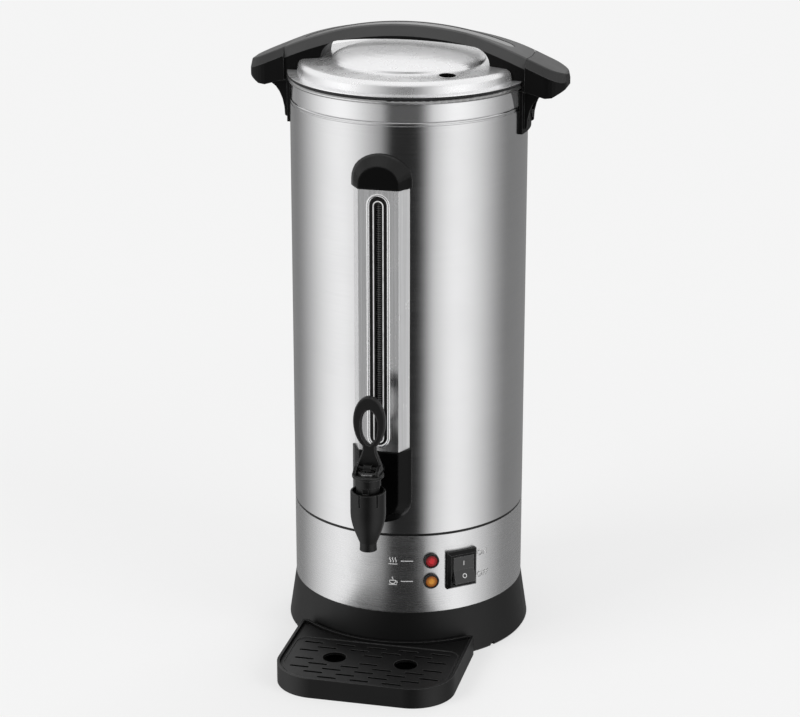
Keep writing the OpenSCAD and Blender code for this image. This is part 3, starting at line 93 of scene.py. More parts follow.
class Tree:
    """A node tree with short calls: most of them return the output socket that the next one takes."""

    def __init__(self, tree):
        self.nodes, self.links = tree.nodes, tree.links
        self.nodes.clear()

    def node(self, kind, inputs=None, **settings):
        """A new node. Its inputs go by name or by number."""
        made = self.nodes.new("ShaderNode" + kind)
        for name, value in settings.items():
            setattr(made, name, value)
        for name, value in (inputs or {}).items():
            self.plug(made.inputs[name], value)
        return made

    def plug(self, socket, value):
        """Links an output to a socket, or sets the socket to a plain value."""
        if isinstance(value, bpy.types.NodeSocket):
            self.links.new(value, socket)
        else:
            socket.default_value = value

    def math(self, operation, a, b=0.0):
        return self.node("Math", {0: a, 1: b}, operation=operation).outputs[0]

    def spread(self, value, low, high, out_low=0.0, out_high=1.0, smooth=True):
        """Maps value from low..high to out_low..out_high and holds it there."""
        kind = "SMOOTHSTEP" if smooth else "LINEAR"
        made = self.node("MapRange", {"Value": value, "From Min": low, "From Max": high,
                                      "To Min": out_low, "To Max": out_high}, interpolation_type=kind)
        return made.outputs["Result"]

    def vary(self, noise, low, high, smooth=True):
        """Maps the usual range of a noise to low..high."""
        return self.spread(noise, NOISE_LOW, NOISE_HIGH, low, high, smooth)

    def mix(self, factor, a, b):
        """A colour between a and b."""
        made = self.node("Mix", data_type="RGBA")
        for number, value in zip(MIX_INPUTS, (factor, a, b)):
            self.plug(made.inputs[number], value)
        return made.outputs[MIX_RESULT]

    def split(self, vector):
        """The X, Y and Z of a vector."""
        return self.node("SeparateXYZ", {0: vector}).outputs

    def length(self, vector):
        return self.node("VectorMath", {0: vector}, operation="LENGTH").outputs["Value"]

    def flat_length(self, a, b):
        """The length of a vector with two parts at right angles."""
        return self.length(self.node("CombineXYZ", {0: a, 1: b}).outputs[0])

    def along(self, x, y, turn):
        """How far x, y lies along the X axis turned about Z by turn, in radians."""
        from_x = self.math("MULTIPLY", x, math.cos(turn))
        return self.math("ADD", from_x, self.math("MULTIPLY", y, math.sin(turn)))

    def place(self):
        return self.node("TexCoord").outputs["Object"]

    def facing(self):
        """The flat normal of a face."""
        return self.node("NewGeometry").outputs["Normal"]

    def stretched(self, scale):
        """The place on the object with each axis scaled, which turns noise into grain."""
        return self.node("Mapping", {"Vector": self.place(), "Scale": scale}).outputs[0]

    def noise(self, where, scale=1.0, detail=3.0, rough=0.5):
        made = self.node("TexNoise", {"Vector": where, "Scale": scale, "Detail": detail, "Roughness": rough})
        return made.outputs["Fac"]

    def rounded(self, radius):
        """A normal that rounds the edges of a solid."""
        return self.node("Bevel", {"Radius": radius}, samples=BEVEL_SAMPLES).outputs[0]

    def bump(self, height, depth, strength, normal=None):
        inputs = {"Height": height, "Distance": depth, "Strength": strength}
        if normal is not None:
            inputs["Normal"] = normal
        return self.node("Bump", inputs).outputs[0]


def grey(value):
    return (value, value, value, 1.0)


def opaque(colour):
    return (*colour, 1.0)


def surface(name, build):
    """A material whose Principled shader is filled in by build(tree), a dict of its sockets."""
    made = bpy.data.materials.new(name)
    made.use_nodes = True
    tree = Tree(made.node_tree)
    shader = tree.node("BsdfPrincipled", build(tree))
    tree.node("OutputMaterial", {"Surface": shader.outputs[0]})
    return made


# ---------- materials ----------

PATCH_TONE = 0.012  # how far large patches of steel stray from its tone
COOL_BLUE = 1.008  # blue of steel over its red and green
GRAIN_ROUGH = 0.15  # share by which the grain varies the roughness of steel
SMEAR_ROUGH = 1.22  # roughness of smears on steel over the rest
GRAIN_DEPTH = 0.02 * MM
QUARTER_TURN = 0.25
PAINTED_RIM_SHADE = 0.5  # painted shade: tone of rolled and level edges, as a share of the rest

# Ranges of the share of a face's normal that points sideways, or up or down, over which one finish passes
# into another: a front into a facet that looks aside, a hole's wall into its level rim, and an upright wall
# into its rolled edge
SIDEWAYS = (0.5, 0.8)
HOLE_WALL = (0.3, 0.7)
ROLLED_EDGE = (0.04, 0.3)

# The lid's frosted dome passes into the shinier metal round it between these radii
DOME_R = 71 * MM
DOME_INNER_R = 0.9 * DOME_R


def steel(name, tone, rough, streak, anisotropy, grain=(14, 14, 2600), rounding=0.3 * MM, across=True,
          metal=1.0, relief=0.05, painted_side_metal=None, walls=None, rolled=0.0, frosted=None):
    """Steel with a fine grain, which runs round the urn's axis unless it is stretched otherwise.

    A face that looks to the side gets the share of metal given for it, so that side faces look lit
    otherwise than the front: painted light. walls is the tone of the upright walls of a hole: painted
    shade inside the hole. rolled is the roughness that rolled and level edges have over the walls; these
    edges are darker too, with painted shade like the shadow under a lid. frosted is the share of metal on
    the lid's dome.
    """

    def build(tree):
        sideways, _, upward = [tree.math("ABSOLUTE", part) for part in tree.split(tree.facing())]
        lines = tree.noise(tree.stretched(grain), detail=4.0, rough=0.6)
        patches = tree.noise(tree.place(), scale=9.0, detail=2.0)
        smears = tree.noise(tree.place(), scale=38.0, detail=5.0, rough=0.65)
        tone_here = tree.math("ADD", tree.vary(lines, -streak, streak, smooth=False),
                              tree.spread(patches, 0.35, 0.65, tone - PATCH_TONE, tone + PATCH_TONE))
        blue = tree.math("MULTIPLY", tone_here, COOL_BLUE)
        colour = tree.node("CombineColor", {0: tone_here, 1: tone_here, 2: blue}).outputs[0]
        # Painted shade: the upright walls of a hole are darkened
        if walls is not None:
            colour = tree.mix(tree.spread(upward, *HOLE_WALL), grey(walls), colour)
        rough_here = tree.math("ADD", tree.vary(lines, -GRAIN_ROUGH * rough, GRAIN_ROUGH * rough),
                               tree.spread(smears, 0.4, 0.75, rough, rough * SMEAR_ROUGH))
        # Painted shade: rolled and level edges are darkened, standing for the shadow under the lid
        if rolled:
            edge = tree.spread(upward, *ROLLED_EDGE)
            rough_here = tree.math("ADD", rough_here, tree.math("MULTIPLY", edge, rolled))
            colour = tree.mix(edge, colour, grey(PAINTED_RIM_SHADE * tone))
        # Painted light: faces that look to the side get their own share of metal, so they look lit otherwise
        share = metal if painted_side_metal is None else tree.spread(sideways, *SIDEWAYS, metal, painted_side_metal)
        if frosted is not None:
            x, y = tree.split(tree.place())[:2]
            share = tree.spread(tree.flat_length(x, y), DOME_INNER_R, DOME_R, frosted, metal)
        return {
            "Base Color": colour,
            "Metallic": share,
            "Roughness": rough_here,
            "Anisotropic": anisotropy,
            "Anisotropic Rotation": QUARTER_TURN if across else 0.0,
            "Tangent": tree.node("Tangent", direction_type="RADIAL", axis="Z").outputs[0],
            "Normal": tree.bump(lines, GRAIN_DEPTH, relief, tree.rounded(rounding) if rounding else None),
        }

    return surface(name, build)


# Range of the cosine between rounded and flat normal over which an edge is lightened by rubbing and a
# painted highlight, and ranges of the normal's rise over which a side passes into a sloping face, and that
# into a level one; where a plastic gives these faces paler tones, they are painted light
WORN_AND_LIT_EDGE = (0.997, 0.93)
SLOPING = (0.05, 0.32)
LEVEL = (0.6, 0.95)

HANDLED_TONE = 1.25  # tone of handled patches over the rest
HANDLED_SHARE = 0.4
PATCH_SHARE_WITH_PAINTED_TOPS = 0.12  # the same where the upper faces are paler with painted light
GLOSS_RANGE = 0.09
COAT_ROUGH = 0.12


def plastic(name, tone, rough, grain=1500.0, depth=0.03 * MM, coat=0.0, rounding=0.5 * MM, wear_and_highlight=0.14,
            level=0.3, upper=None):
    """Moulded plastic: fine sparked grain, uneven gloss, edges lighter by rubbing and a painted highlight.

    upper gives the paler tones of sloping and of level faces, which are painted light.
    """

    def build(tree):
        sparks = tree.noise(tree.place(), scale=grain, detail=2.0)
        handled = tree.noise(tree.place(), scale=24.0, detail=4.0, rough=0.6)
        soft = tree.rounded(rounding)
        edge = tree.node("VectorMath", {0: soft, 1: tree.facing()}, operation="DOT_PRODUCT").outputs["Value"]
        # Edges are lightened: a painted highlight, partly rubbing
        lit_worn_edge = tree.math("MULTIPLY", tree.spread(edge, *WORN_AND_LIT_EDGE), tree.spread(handled, 0.3, 0.6, 0.35, 1.0))
        base = grey(tone)
        # Painted light: sloping and level faces get the paler tones of upper
        if upper:
            rise = tree.split(soft)[2]
            base = tree.mix(tree.spread(rise, *SLOPING), base, grey(upper[0]))
            base = tree.mix(tree.spread(rise, *LEVEL), base, grey(upper[1]))
        colour = tree.mix(lit_worn_edge, base, grey(tone + wear_and_highlight))
        patches = tree.vary(handled, 0.0, PATCH_SHARE_WITH_PAINTED_TOPS if upper else HANDLED_SHARE)
        return {
            "Base Color": tree.mix(patches, colour, grey(tone * HANDLED_TONE)),
            "Roughness": tree.spread(handled, 0.3, 0.75, rough, rough + GLOSS_RANGE),
            "Specular IOR Level": level,
            "Coat Weight": coat,
            "Coat Roughness": COAT_ROUGH,
            "Normal": tree.bump(sparks, depth, 0.35, soft),
        }

    return surface(name, build)


# Radii of a lamp's lens, and those over which its bright cone fades and its rim darkens
LENS_R = 5.8 * MM
CONE_FADE = (0.25 * LENS_R, 0.8 * LENS_R)
RIM_FADE = (0.82 * LENS_R, 0.97 * LENS_R)
RIM_TONE = 0.3  # tone of the rim, as a share of the deep colour
LENS_PRISMS = 14
LENS_GLOW = 0.12


def lens(name, node, deep, bright):
    """A coloured lamp lens on a node: a bright cone at its middle, moulded prisms round it, a darker rim."""
    low, high = box(node)
    middle = (low + high) / 2
    turn = math.radians(LAMP_BEARING)

    def build(tree):
        x, y, z = tree.split(tree.place())
        beside = middle.x * math.cos(turn) + middle.y * math.sin(turn)
        right = tree.math("SUBTRACT", tree.along(x, y, turn), beside)
        up = tree.math("SUBTRACT", z, middle.z)
        out = tree.flat_length(right, up)
        around = tree.math("MULTIPLY", tree.math("ARCTAN2", up, right), LENS_PRISMS)
        rays = tree.spread(tree.math("SINE", around), -0.4, 0.7)
        prisms = tree.node("TexVoronoi", {"Vector": tree.place(), "Scale": 900.0}).outputs["Distance"]
        ring = tree.mix(tree.spread(out, *CONE_FADE), opaque(bright), opaque(deep))
        rim = tree.mix(tree.spread(out, *RIM_FADE), ring, opaque(c * RIM_TONE for c in deep))
        cut = tree.math("MULTIPLY", rays, tree.spread(prisms, 0.1, 0.7, 0.25, 0.6))
        shade = tree.mix(cut, rim, opaque(deep))
        return {
            "Base Color": shade,
            "Roughness": tree.spread(prisms, 0.0, 0.8, 0.08, 0.2),
            "Specular IOR Level": 0.3,
            "Emission Color": shade,
            "Emission Strength": LENS_GLOW,
            "Coat Weight": 0.15,
            "Coat Roughness": 0.05,
            "Normal": tree.bump(prisms, 0.08 * MM, 0.4, tree.rounded(0.3 * MM)),
        }

    return surface(name, build)


TUBE_RING_PITCH = 2.1 * MM
TUBE_TONE = 0.03
TUBE_RING_TONE = 0.16
TUBE_IOR = 1.5


def level_tube(name):
    """The gauge's tube: smoked, with fine rings round it and faint draw lines along it."""

    def build(tree):
        lines = tree.noise(tree.stretched((2600, 2600, 9)), detail=2.0)
        z = tree.split(tree.place())[2]
        turn = tree.math("SINE", tree.math("MULTIPLY", z, 2 * math.pi / TUBE_RING_PITCH))
        rings = tree.spread(turn, -0.2, 0.7)
        return {
            "Base Color": tree.mix(rings, grey(TUBE_TONE), grey(TUBE_RING_TONE)),
            "Roughness": tree.vary(lines, 0.08, 0.2),
            "IOR": TUBE_IOR,
            "Transmission Weight": 0.3,
            "Normal": tree.bump(rings, 0.1 * MM, 0.3),
        }

    return surface(name, build)


# The bead round the slot of the gauge's insert: how far the middles of its round ends lie from the insert's
# ends, and its radii
BEAD_FOOT = 9.7 * MM
BEAD_HEAD = 11.7 * MM
BEAD_IN = 3.8 * MM
BEAD_OUT = 5.1 * MM
BEAD_FADE = 0.25 * MM
HIGHLIGHT_BREAKUP = 0.8  # tone where the painted highlight on the bead breaks up, as a share of the rest


def outlined(name, tone, rough, bead_highlight_tone):
    """The gauge's insert: black plastic with a painted highlight along the bead round its slot."""
    low, high = box("gauge_insert")
    foot, head = low.z + BEAD_FOOT, high.z - BEAD_HEAD

    def build(tree):
        x, _, z = tree.split(tree.place())
        nearest = tree.math("MINIMUM", tree.math("MAXIMUM", z, foot), head)
        out = tree.flat_length(x, tree.math("SUBTRACT", z, nearest))
        bead = tree.math("MULTIPLY", tree.spread(out, BEAD_IN, BEAD_IN + BEAD_FADE),
                         tree.spread(out, BEAD_OUT - BEAD_FADE, BEAD_OUT, 1.0, 0.0))
        scuffs = tree.noise(tree.place(), scale=160.0, detail=4.0)
        sparks = tree.noise(tree.place(), scale=1500.0, detail=2.0)
        # The bead round the slot gets a painted highlight
        pale = tree.mix(tree.spread(scuffs, 0.4, 0.7), grey(bead_highlight_tone), grey(bead_highlight_tone * HIGHLIGHT_BREAKUP))
        return {
            "Base Color": tree.mix(bead, grey(tone), pale),
            "Roughness": tree.vary(scuffs, rough, rough + 0.12),
            "Specular IOR Level": 0.3,
            "Normal": tree.bump(sparks, 0.02 * MM, 0.3, tree.rounded(0.25 * MM)),
        }

    return surface(name, build)


DUST_GAIN = 1.35  # colour of dust on rubber: its own times this, and a little more
DUST_LIFT = 0.015


def rubbery(name, colour, rough, sheen=0.0):
    """Rubber, silicone, ceramic or a woven sleeve: matt, with a fine uneven skin and a little dust."""

    def build(tree):
        skin = tree.noise(tree.place(), scale=700.0, detail=4.0)
        dust = tree.noise(tree.place(), scale=60.0, detail=5.0, rough=0.7)
        dusty = opaque(min(1.0, c * DUST_GAIN + DUST_LIFT) for c in colour)
        return {
            "Base Color": tree.mix(tree.spread(dust, 0.45, 0.75, 0.0, 0.6), opaque(colour), dusty),
            "Roughness": tree.vary(skin, rough - 0.06, rough + 0.06),
            "Sheen Weight": sheen,
            "Normal": tree.bump(skin, 0.05 * MM, 0.4, tree.rounded(0.4 * MM)),
        }

    return surface(name, build)


STAIN_TONE = 0.72  # tone of stained metal, as a share of clean metal


def cast(name, colour, rough):
    """Cast or drawn metal, mostly out of sight: grainy, dull, a little stained."""

    def build(tree):
        grain = tree.noise(tree.place(), scale=900.0, detail=4.0)
        stain = tree.noise(tree.place(), scale=45.0, detail=6.0, rough=0.7)
        dull = opaque(c * STAIN_TONE for c in colour)
        return {
            "Base Color": tree.mix(tree.spread(stain, 0.42, 0.72), opaque(colour), dull),
            "Metallic": 1.0,
            "Roughness": tree.vary(stain, rough - 0.06, rough + 0.1),
            "Normal": tree.bump(grain, 0.05 * MM, 0.3, tree.rounded(0.3 * MM)),
        }

    return surface(name, build)


THIN_INK = 0.82  # tone of thin ink, as a share of full ink


def paint(name, tone):
    """Screen-printed ink, slightly uneven. The words' painted shadow is drawn with it too."""

    def build(tree):
        patch = tree.noise(tree.place(), scale=900.0, detail=3.0)
        return {
            "Base Color": tree.mix(tree.spread(patch, 0.35, 0.7), grey(tone), grey(tone * THIN_INK)),
            "Roughness": tree.vary(patch, 0.42, 0.55),
        }

    return surface(name, build)


BRIGHT = {"tone": 0.74, "rough": 0.09, "streak": 0.012, "anisotropy": 0.4, "grain": (60, 60, 1400),
          "metal": 0.88, "relief": 0.01}
EVEN_GRAIN = (60, 60, 60)
FINE = {"grain": 900.0, "depth": 0.012 * MM}
HELD = {"tone": 0.003, "rough": 0.42, "wear_and_highlight": 0.12, "level": 0.12}

brushed = steel("brushed_steel", tone=0.66, rough=0.19, streak=0.02, anisotropy=0.8)
skirting = steel("skirt_steel", tone=0.66, rough=0.25, streak=0.015, anisotropy=0.75, metal=0.97)
polished = steel("polished_steel", **BRIGHT)
# Painted shade on the vessel's rolled and level edges
vessel = steel("vessel_steel", **BRIGHT, rolled=0.25)
# Painted light on the guard's faces that look to the side, by their share of metal
upright = steel("upright_steel", tone=0.8, rough=0.22, streak=0.09, anisotropy=0.7, grain=(800, 800, 6),
                across=False, painted_side_metal=0.6)
satin = steel("satin_steel", tone=0.92, rough=0.27, streak=0.004, anisotropy=0.0, grain=EVEN_GRAIN,
              rounding=0, metal=0.8, relief=0.0, frosted=0.15)
# Painted shade on the upright walls of the eyelet's hole
eyelet = steel("eyelet_steel", tone=0.95, rough=0.24, streak=0.004, anisotropy=0.2, grain=EVEN_GRAIN,
               metal=0.7, relief=0.005, walls=0.02)
fixing = steel("fixing_steel", tone=0.6, rough=0.26, streak=0.04, anisotropy=0.0, grain=(900, 900, 900))
black = plastic("black_plastic", tone=0.004, rough=0.38)
gloss = plastic("black_gloss", tone=0.003, rough=0.2, coat=0.05, wear_and_highlight=0.2, level=0.12, **FINE)
keys = plastic("rocker_plastic", tone=0.04, rough=0.24, coat=0.1, wear_and_highlight=0.35, **FINE)
# Painted light: these four plastics get paler tones on their sloping and level faces
arch = plastic("bar_plastic", upper=(0.075, 0.13), **HELD)
grips = plastic("grip_plastic", upper=(0.045, 0.1), **HELD)
caps = plastic("cap_plastic", tone=0.0015, rough=0.16, rounding=2.5 * MM, wear_and_highlight=0.0, level=0.12,
               upper=(0.016, 0.05), **FINE)
strip = plastic("strip_plastic", tone=0.002, rough=0.15, rounding=2.0 * MM, wear_and_highlight=0.0, level=1.0,
                upper=(0.002, 0.16))
foot_rubber = rubbery("foot_rubber", (0.012, 0.012, 0.013), rough=0.7)

# Materials by the slot that the record gives a piece
FINISH = {
    "black_plastic": black,
    "black_gloss": gloss,
    "brushed_shell": brushed,
    "polished_steel": polished,
    "fixings": fixing,
    "alloy": cast("cast_alloy", (0.6, 0.6, 0.61), rough=0.42),
    "foot_rubber": foot_rubber,
    "silicone": rubbery("silicone", (0.56, 0.56, 0.54), rough=0.45, sheen=0.1),
    "clear_tube": level_tube("level_tube"),
    "red_lens": lens("red_lens", "heating_lens", deep=(0.22, 0.003, 0.006), bright=(0.7, 0.02, 0.03)),
    "amber_lens": lens("amber_lens", "warm_lens", deep=(0.3, 0.085, 0.004), bright=(0.78, 0.34, 0.04)),
    "pins_brass": cast("pin_brass", (0.72, 0.52, 0.22), rough=0.3),
    "ceramic_body": rubbery("ceramic", (0.7, 0.68, 0.62), rough=0.5),
    "lead_sleeve": rubbery("lead_sleeve", (0.5, 0.47, 0.38), rough=0.7, sheen=0.2),
}

# Pieces that look different from the rest of their slot
NODE_FINISH = {
    "tank": vessel,
    "lid_pan": satin,
    # lid_gasket gets black rubber: partly its own colour, partly painted shadow under the lid's flange
    "lid_gasket": foot_rubber,
    "vent_grommet": eyelet,
    "lid_bar": arch,
    "bar_inlay": strip,
    "handle_left": grips,
    "handle_right": grips,
    "gauge_top_cap": caps,
    "gauge_lower_cap": caps,
    "skirt_shell": skirting,
    "gauge_guard": upright,
    "gauge_insert": outlined("insert_plastic", tone=0.003, rough=0.3, bead_highlight_tone=0.85),
    "switch_rocker": keys,
    "lever_pin": black,
    "tap_stem": black,
}


def dress(node, material):
    for slot in frame["nodes"][node].material_slots:
        slot.material = material


for part in frame["record"]["subparts"]:
    dress(part["node"], NODE_FINISH.get(part["node"], FINISH[part["material_slot"]]))


# ---------- printed marks ----------

PEN = 0.75 * MM
INK_T = 0.06 * MM

# Heights of the middle of the ink: the shade of a word lies on the skirt, and its white ink on the shade
SHADE_LIFT = INK_T / 2
WHITE_LIFT = 1.5 * INK_T


def on_cylinder(mesh, bearing, height, radius):
    """Wraps a flat drawing round the urn: x runs along the surface, y up it, z out of it."""
    for vertex in mesh.vertices:
        x, y, z = vertex.co
        angle = math.radians(bearing) + x / radius
        vertex.co = ((radius + z) * math.sin(angle), -(radius + z) * math.cos(angle), height + y)


def word(text, size, bearing, height, lift):
    """A printed word on the skirt, its left edge at the bearing and the middle of its ink at the lift."""
    curve = bpy.data.curves.new("word", "FONT")
    curve.body = text
    curve.size = size
    curve.extrude = INK_T / 2
    curve.align_y = "CENTER"
    holder = bpy.data.objects.new("word", curve)
    bpy.context.scene.collection.objects.link(holder)
    mesh = bpy.data.meshes.new_from_object(holder)
    bpy.data.objects.remove(holder)
    on_cylinder(mesh, bearing, height, SHELL_R + lift)
    return mesh


def stroke(bm, points):
    """A flat ribbon of ink along points, closed on all sides."""
    half = PEN / 2
    rings = []
    for i, point in enumerate(points):
        along = (Vector(points[min(i + 1, len(points) - 1)]) - Vector(points[max(i - 1, 0)])).normalized()
        across = Vector((-along.y, along.x)) * half
        ring = [(Vector(point) + across * s, z) for s, z in ((1, 0), (-1, 0), (-1, INK_T), (1, INK_T))]
        rings.append([bm.verts.new((p.x, p.y, z)) for p, z in ring])
    for a, b in zip(rings, rings[1:]):
        for i in range(4):
            j = (i + 1) % 4
            bm.faces.new((a[i], a[j], b[j], b[i]))
    bm.faces.new(rings[0])
    bm.faces.new(rings[-1][::-1])
    bmesh.ops.recalc_face_normals(bm, faces=bm.faces)


def drawing(*strokes):
    """A flat drawing in ink from lists of points."""
    bm = bmesh.new()
    for points in strokes:
        stroke(bm, points)
    made = bpy.data.meshes.new("drawing")
    bm.to_mesh(made)
    bm.free()
    return made


def joined(name, meshes):
    """One mesh from several."""
    bm = bmesh.new()
    for mesh in meshes:
        bm.from_mesh(mesh)
    made = bpy.data.meshes.new(name)
    bm.to_mesh(made)
    bm.free()
    return made


def finish_mesh(name, meshes, body, material):
    """Puts a new piece in the scene, joined from meshes and riding on a body."""
    mesh = joined(name, meshes)
    made = bpy.data.objects.new(name, mesh)
    bpy.context.scene.collection.objects.link(made)
    mesh.materials.clear()
    mesh.materials.append(material)
    for face in mesh.polygons:
        face.use_smooth = False
    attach(made, body)


def line(start, end, parts=12):
    """Points from start to end, close enough together to follow the urn's curve."""
    return [tuple(a + (b - a) * i / parts for a, b in zip(start, end)) for i in range(parts + 1)]


def wave(x, low, high, swing, parts=14):
    """A wavy upright line, one wave long."""
    return [(x + swing * math.sin(2 * math.pi * i / parts), low + (high - low) * i / parts)
            for i in range(parts + 1)]


def arc(middle, radius, start, end, parts=12):
    """Points on a circle from one angle to another."""
    angles = [math.radians(start + (end - start) * i / parts) for i in range(parts + 1)]
    return [(middle[0] + radius * math.cos(a), middle[1] + radius * math.sin(a)) for a in angles]


# Heating: three waves of heat over a plate. Warm: a cup with one wave over it. A fine rule leads from each to
# its lamp. Heights are from the lamp's, and a wave has a foot, a head and a swing.
MARK_BEARING = 5.5
RULE = ((7.5 * MM, 0), (19 * MM, 0))
HEAT_WAVES_AT = (-2.6 * MM, 0.0, 2.6 * MM)
HEAT_WAVE = (-1.4 * MM, 3.4 * MM, 0.55 * MM)
PLATE = ((-4.2 * MM, -3.2 * MM), (4.2 * MM, -3.2 * MM))
CUP_AT = (-0.4 * MM, 0.2 * MM)
CUP_R = 2.9 * MM
CUP_LEFT = (-3.2 * MM, 0.6 * MM)
CUP_RIGHT = (2.4 * MM, 0.6 * MM)
EAR_AT = (2.9 * MM, -0.9 * MM)
EAR_R = 1.1 * MM
BRIM = ((-3.3 * MM, 0.7 * MM), (2.6 * MM, 0.7 * MM))
SAUCER = ((-4.0 * MM, -3.5 * MM), (3.6 * MM, -3.5 * MM))
STEAM_WAVE = (1.7 * MM, 4.2 * MM, 0.4 * MM)


def heat_mark():
    waves = [wave(x, *HEAT_WAVE) for x in HEAT_WAVES_AT]
    return drawing(*waves, line(*PLATE), line(*RULE))


def warm_mark():
    bowl = [CUP_LEFT, *arc(CUP_AT, CUP_R, 190, 350), CUP_RIGHT]
    ear = arc(EAR_AT, EAR_R, 80, -80)
    steam = wave(CUP_AT[0], *STEAM_WAVE)
    return drawing(bowl, ear, line(*BRIM), line(*SAUCER), steam, line(*RULE))


def lamp_marks():
    marks = {"heating_lens": heat_mark(), "warm_lens": warm_mark()}
    for node, mark in marks.items():
        on_cylinder(mark, MARK_BEARING, middle_z(node), SHELL_R)
    return list(marks.values())


SWITCH_Z = middle_z("switch_body")
SWITCH_WORD_BEARING = 48.6
SWITCH_WORD_OFF = 11 * MM
WORD_SIZE = 8.2 * MM
SHADE_SHIFT = 0.55 * MM


def switch_words(shift, lift):
    """The words beside the switch, moved to the right and down by shift."""
    at = SWITCH_WORD_BEARING + math.degrees(shift / SHELL_R)
    return [word(text, WORD_SIZE, at, SWITCH_Z + rise - shift, lift)
            for text, rise in (("ON", SWITCH_WORD_OFF), ("OFF", -SWITCH_WORD_OFF))]


# The rocker turns about its pivot. Its face is dished, each half leaning by half the throw.
ROCKER_PIVOT_IN = 1 * MM
ROCKER_FACE = 5.6 * MM
ROCKER_LEAN = 10
ROCKER_MARK_AT = 6.2 * MM
ROCKER_BAR = ((0, -2.2 * MM), (0, 2.2 * MM))
ROCKER_RING_R = 1.9 * MM


def rocker_marks():
    """I on the upper half and O on the lower half of the rocker."""
    bar = drawing(line(*ROCKER_BAR, parts=2))
    ring = drawing(arc((0, 0), ROCKER_RING_R, 0, 360, parts=24))
    lean = math.radians(ROCKER_LEAN)
    place = (Matrix.Rotation(math.radians(SWITCH_BEARING), 4, "Z")
             @ Matrix.Translation((0, -SHELL_R - ROCKER_PIVOT_IN, SWITCH_Z)) @ Matrix.Rotation(-lean, 4, "X"))
    for mesh, side in ((bar, 1), (ring, -1)):
        for vertex in mesh.vertices:
            x, up, out = vertex.co
            up += side * ROCKER_MARK_AT
            vertex.co = place @ Vector((x, -ROCKER_FACE - abs(up) * math.tan(lean) - out, up))
    return [bar, ring]


white_ink = paint("white_ink", 0.85)
# A dark copy of the switch words, moved down and to the right, is painted shadow, as under raised letters
word_shadow_paint = paint("word_shadow_paint", 0.09)
skirt_marks = lamp_marks() + switch_words(0, WHITE_LIFT)
word_shade = switch_words(SHADE_SHIFT, SHADE_LIFT)
finish_mesh("skirt_marks", skirt_marks, "urn", white_ink)
finish_mesh("word_shade", word_shade, "urn", word_shadow_paint)
finish_mesh("rocker_marks", rocker_marks(), "rocker", white_ink)


# ---------- studio ----------

# The bearing of the studio's front, where the photographer stands
STUDIO_FRONT = 13.2

# What the steel mirrors, in degrees from the studio's front. Two soft boxes stand in a grey room, each with
# its middle, its reach to the left and to the right, and its level over the room's. A dark flag with soft
# edges hangs between them.
ROOM = 0.27
SOFT_BOXES = ((-70, 74, 58, 0.98), (47, 50, 68, 0.96))
FLAG_SIDES = (-15, 6)
FLAG_EDGES = (14, 19)
FLAG_LEVEL = 0.09

# Faces that look up mirror a bright ceiling, with a wider and softer flag at the front. A direction's rise is
# its Z: the ceiling comes in over the first range, and the even light overhead over the second.
CEILING = 0.93
CEILING_FLAG_SIDES = (-8, 4)
CEILING_FLAG_EDGES = (60, 40)
CEILING_FLAG_LEVEL = 0.13
CEILING_RISE = (0.0, 0.25)
OVERHEAD = 0.95
OVERHEAD_RISE = (0.5, 0.9)

# Light that reaches matt surfaces from all sides
FILL = 0.5


def soft_box(tree, azimuth, middle, left, right, level):
    """The light of one soft box by direction, which fades to both sides."""
    off = tree.math("SUBTRACT", azimuth, middle)
    return tree.math("MULTIPLY", tree.spread(off, -left, 0, 0.0, level), tree.spread(off, 0, right, 1.0, 0.0))


def dark_flag(tree, azimuth, sides, edges, level):
    """The share of light that passes a flag: its level between its sides, rising to 1 over its edges."""
    left = tree.spread(azimuth, sides[0] - edges[0], sides[0], 1.0, level)
    right = tree.spread(azimuth, sides[1], sides[1] + edges[1], level, 1.0)
    return tree.math("MAXIMUM", left, right)


def studio_world():
    """The room: what mirrors show, what lights matt surfaces, and the backdrop that the camera sees."""
    world = bpy.data.worlds.new("studio")
    bpy.context.scene.world = world
    world.use_nodes = True
    tree = Tree(world.node_tree)
    x, y, rise = tree.split(tree.node("TexCoord").outputs["Generated"])
    turn = math.radians(STUDIO_FRONT)
    beside = tree.along(x, y, turn)
    ahead = tree.along(x, y, turn - math.pi / 2)
    azimuth = tree.math("MULTIPLY", tree.math("ARCTAN2", beside, ahead), math.degrees(1))
    walls = ROOM
    for place in SOFT_BOXES:
        walls = tree.math("ADD", walls, soft_box(tree, azimuth, *place))
    walls = tree.math("MULTIPLY", walls, dark_flag(tree, azimuth, FLAG_SIDES, FLAG_EDGES, FLAG_LEVEL))
    gap = dark_flag(tree, azimuth, CEILING_FLAG_SIDES, CEILING_FLAG_EDGES, CEILING_FLAG_LEVEL)
    ceiling = tree.math("MULTIPLY", gap, CEILING)
    ceiling = tree.mix(tree.spread(rise, *OVERHEAD_RISE), ceiling, grey(OVERHEAD))
    path = tree.node("LightPath").outputs
    mirrored = tree.math("MAXIMUM", path["Is Glossy Ray"], path["Is Transmission Ray"])
    seen = tree.node("Background", {0: grey(BACKDROP)})
    mirror = tree.node("Background", {0: tree.mix(tree.spread(rise, *CEILING_RISE), walls, ceiling)})
    fill = tree.node("Background", {0: grey(FILL)})
    inner = tree.node("MixShader", {0: mirrored, 1: fill.outputs[0], 2: mirror.outputs[0]})
    outer = tree.node("MixShader", {0: path["Is Camera Ray"], 1: inner.outputs[0], 2: seen.outputs[0]})
    tree.node("OutputWorld", {"Surface": outer.outputs[0]})


FLOOR_R = 14.0
FLOOR_DROP = 0.1 * MM
FADE_FROM = 0.35
FADE_TO = 1.1
FLOOR_SHADE = 0.34
FLOOR_LIGHT = 0.92  # light on the open floor, so that its shaded and its glowing share make up the backdrop
FLOOR_BOUNCE = 0.75  # the floor's tone for light that goes on to the urn


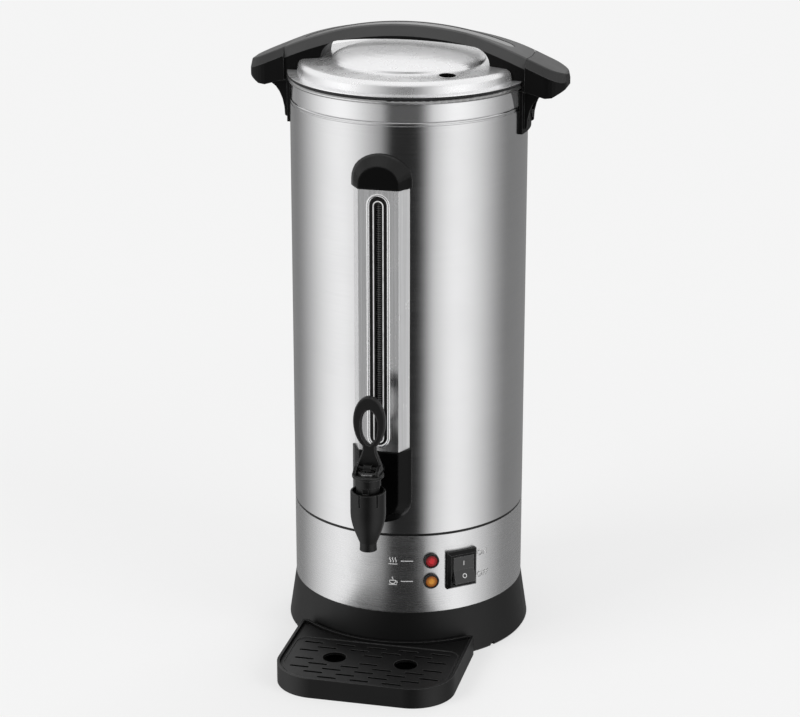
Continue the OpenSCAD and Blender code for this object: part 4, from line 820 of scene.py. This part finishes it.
def studio_floor():
    """A pale floor that keeps the urn's shadow near it and fades into the backdrop."""
    mesh = bpy.data.meshes.new("floor")
    corners = [(x * FLOOR_R, y * FLOOR_R, 0) for x, y in ((-1, -1), (1, -1), (1, 1), (-1, 1))]
    mesh.from_pydata(corners, [], [(0, 1, 2, 3)])
    floor = bpy.data.objects.new("floor", mesh)
    bpy.context.scene.collection.objects.link(floor)
    floor.location.z = -FLOOR_DROP
    material = bpy.data.materials.new("floor")
    material.use_nodes = True
    tree = Tree(material.node_tree)
    lit = tree.node("BsdfDiffuse", {"Color": grey(FLOOR_SHADE)})
    base = tree.node("Emission", {"Color": grey(BACKDROP - FLOOR_SHADE * FLOOR_LIGHT)})
    near = tree.node("AddShader", {0: lit.outputs[0], 1: base.outputs[0]})
    far = tree.node("Emission", {"Color": grey(BACKDROP)})
    fade = tree.spread(tree.length(tree.place()), FADE_FROM, FADE_TO)
    shown = tree.node("MixShader", {0: fade, 1: near.outputs[0], 2: far.outputs[0]})
    bounce = tree.node("BsdfDiffuse", {"Color": grey(FLOOR_BOUNCE)})
    seen = tree.node("LightPath").outputs["Is Camera Ray"]
    either = tree.node("MixShader", {0: seen, 1: bounce.outputs[0], 2: shown.outputs[0]})
    tree.node("OutputMaterial", {"Surface": either.outputs[0]})
    mesh.materials.append(material)
    floor.visible_glossy = False


# Name, place, size and watts of each lamp. All of them point at the middle of the urn.
LAMPS = (
    ("key", (-1.6, -1.5, 1.9), 1.3, 26),
    ("side", (1.9, -0.9, 1.3), 1.1, 14),
    ("back", (0.3, 1.9, 1.7), 1.2, 12),
)
LAMP_TARGET = (0, 0, 0.3)


def lamp(name, place, size, watts):
    """A soft box that lights without showing in mirrors."""
    data = bpy.data.lights.new(name, "AREA")
    data.size = size
    data.energy = watts
    made = bpy.data.objects.new(name, data)
    bpy.context.scene.collection.objects.link(made)
    made.location = place
    made.rotation_euler = (Vector(LAMP_TARGET) - Vector(place)).to_track_quat("-Z", "Y").to_euler()
    made.visible_glossy = False
    made.visible_camera = False


def camera():
    data = bpy.data.cameras.new("camera")
    data.sensor_width = SENSOR_IN_MM
    data.lens = SENSOR_IN_MM * FOCAL_PX / IMAGE_W_PX
    data.clip_start = CLIP_NEAR
    data.clip_end = CLIP_FAR
    made = bpy.data.objects.new("camera", data)
    bpy.context.scene.collection.objects.link(made)
    made.location = CAMERA_AT
    made.rotation_euler = [math.radians(a) for a in (90 - CAMERA_PITCH, 0, CAMERA_HEADING)]
    bpy.context.scene.camera = made


studio_world()
studio_floor()
for settings in LAMPS:
    lamp(*settings)
camera()
bpy.context.scene.view_settings.view_transform = "Standard"
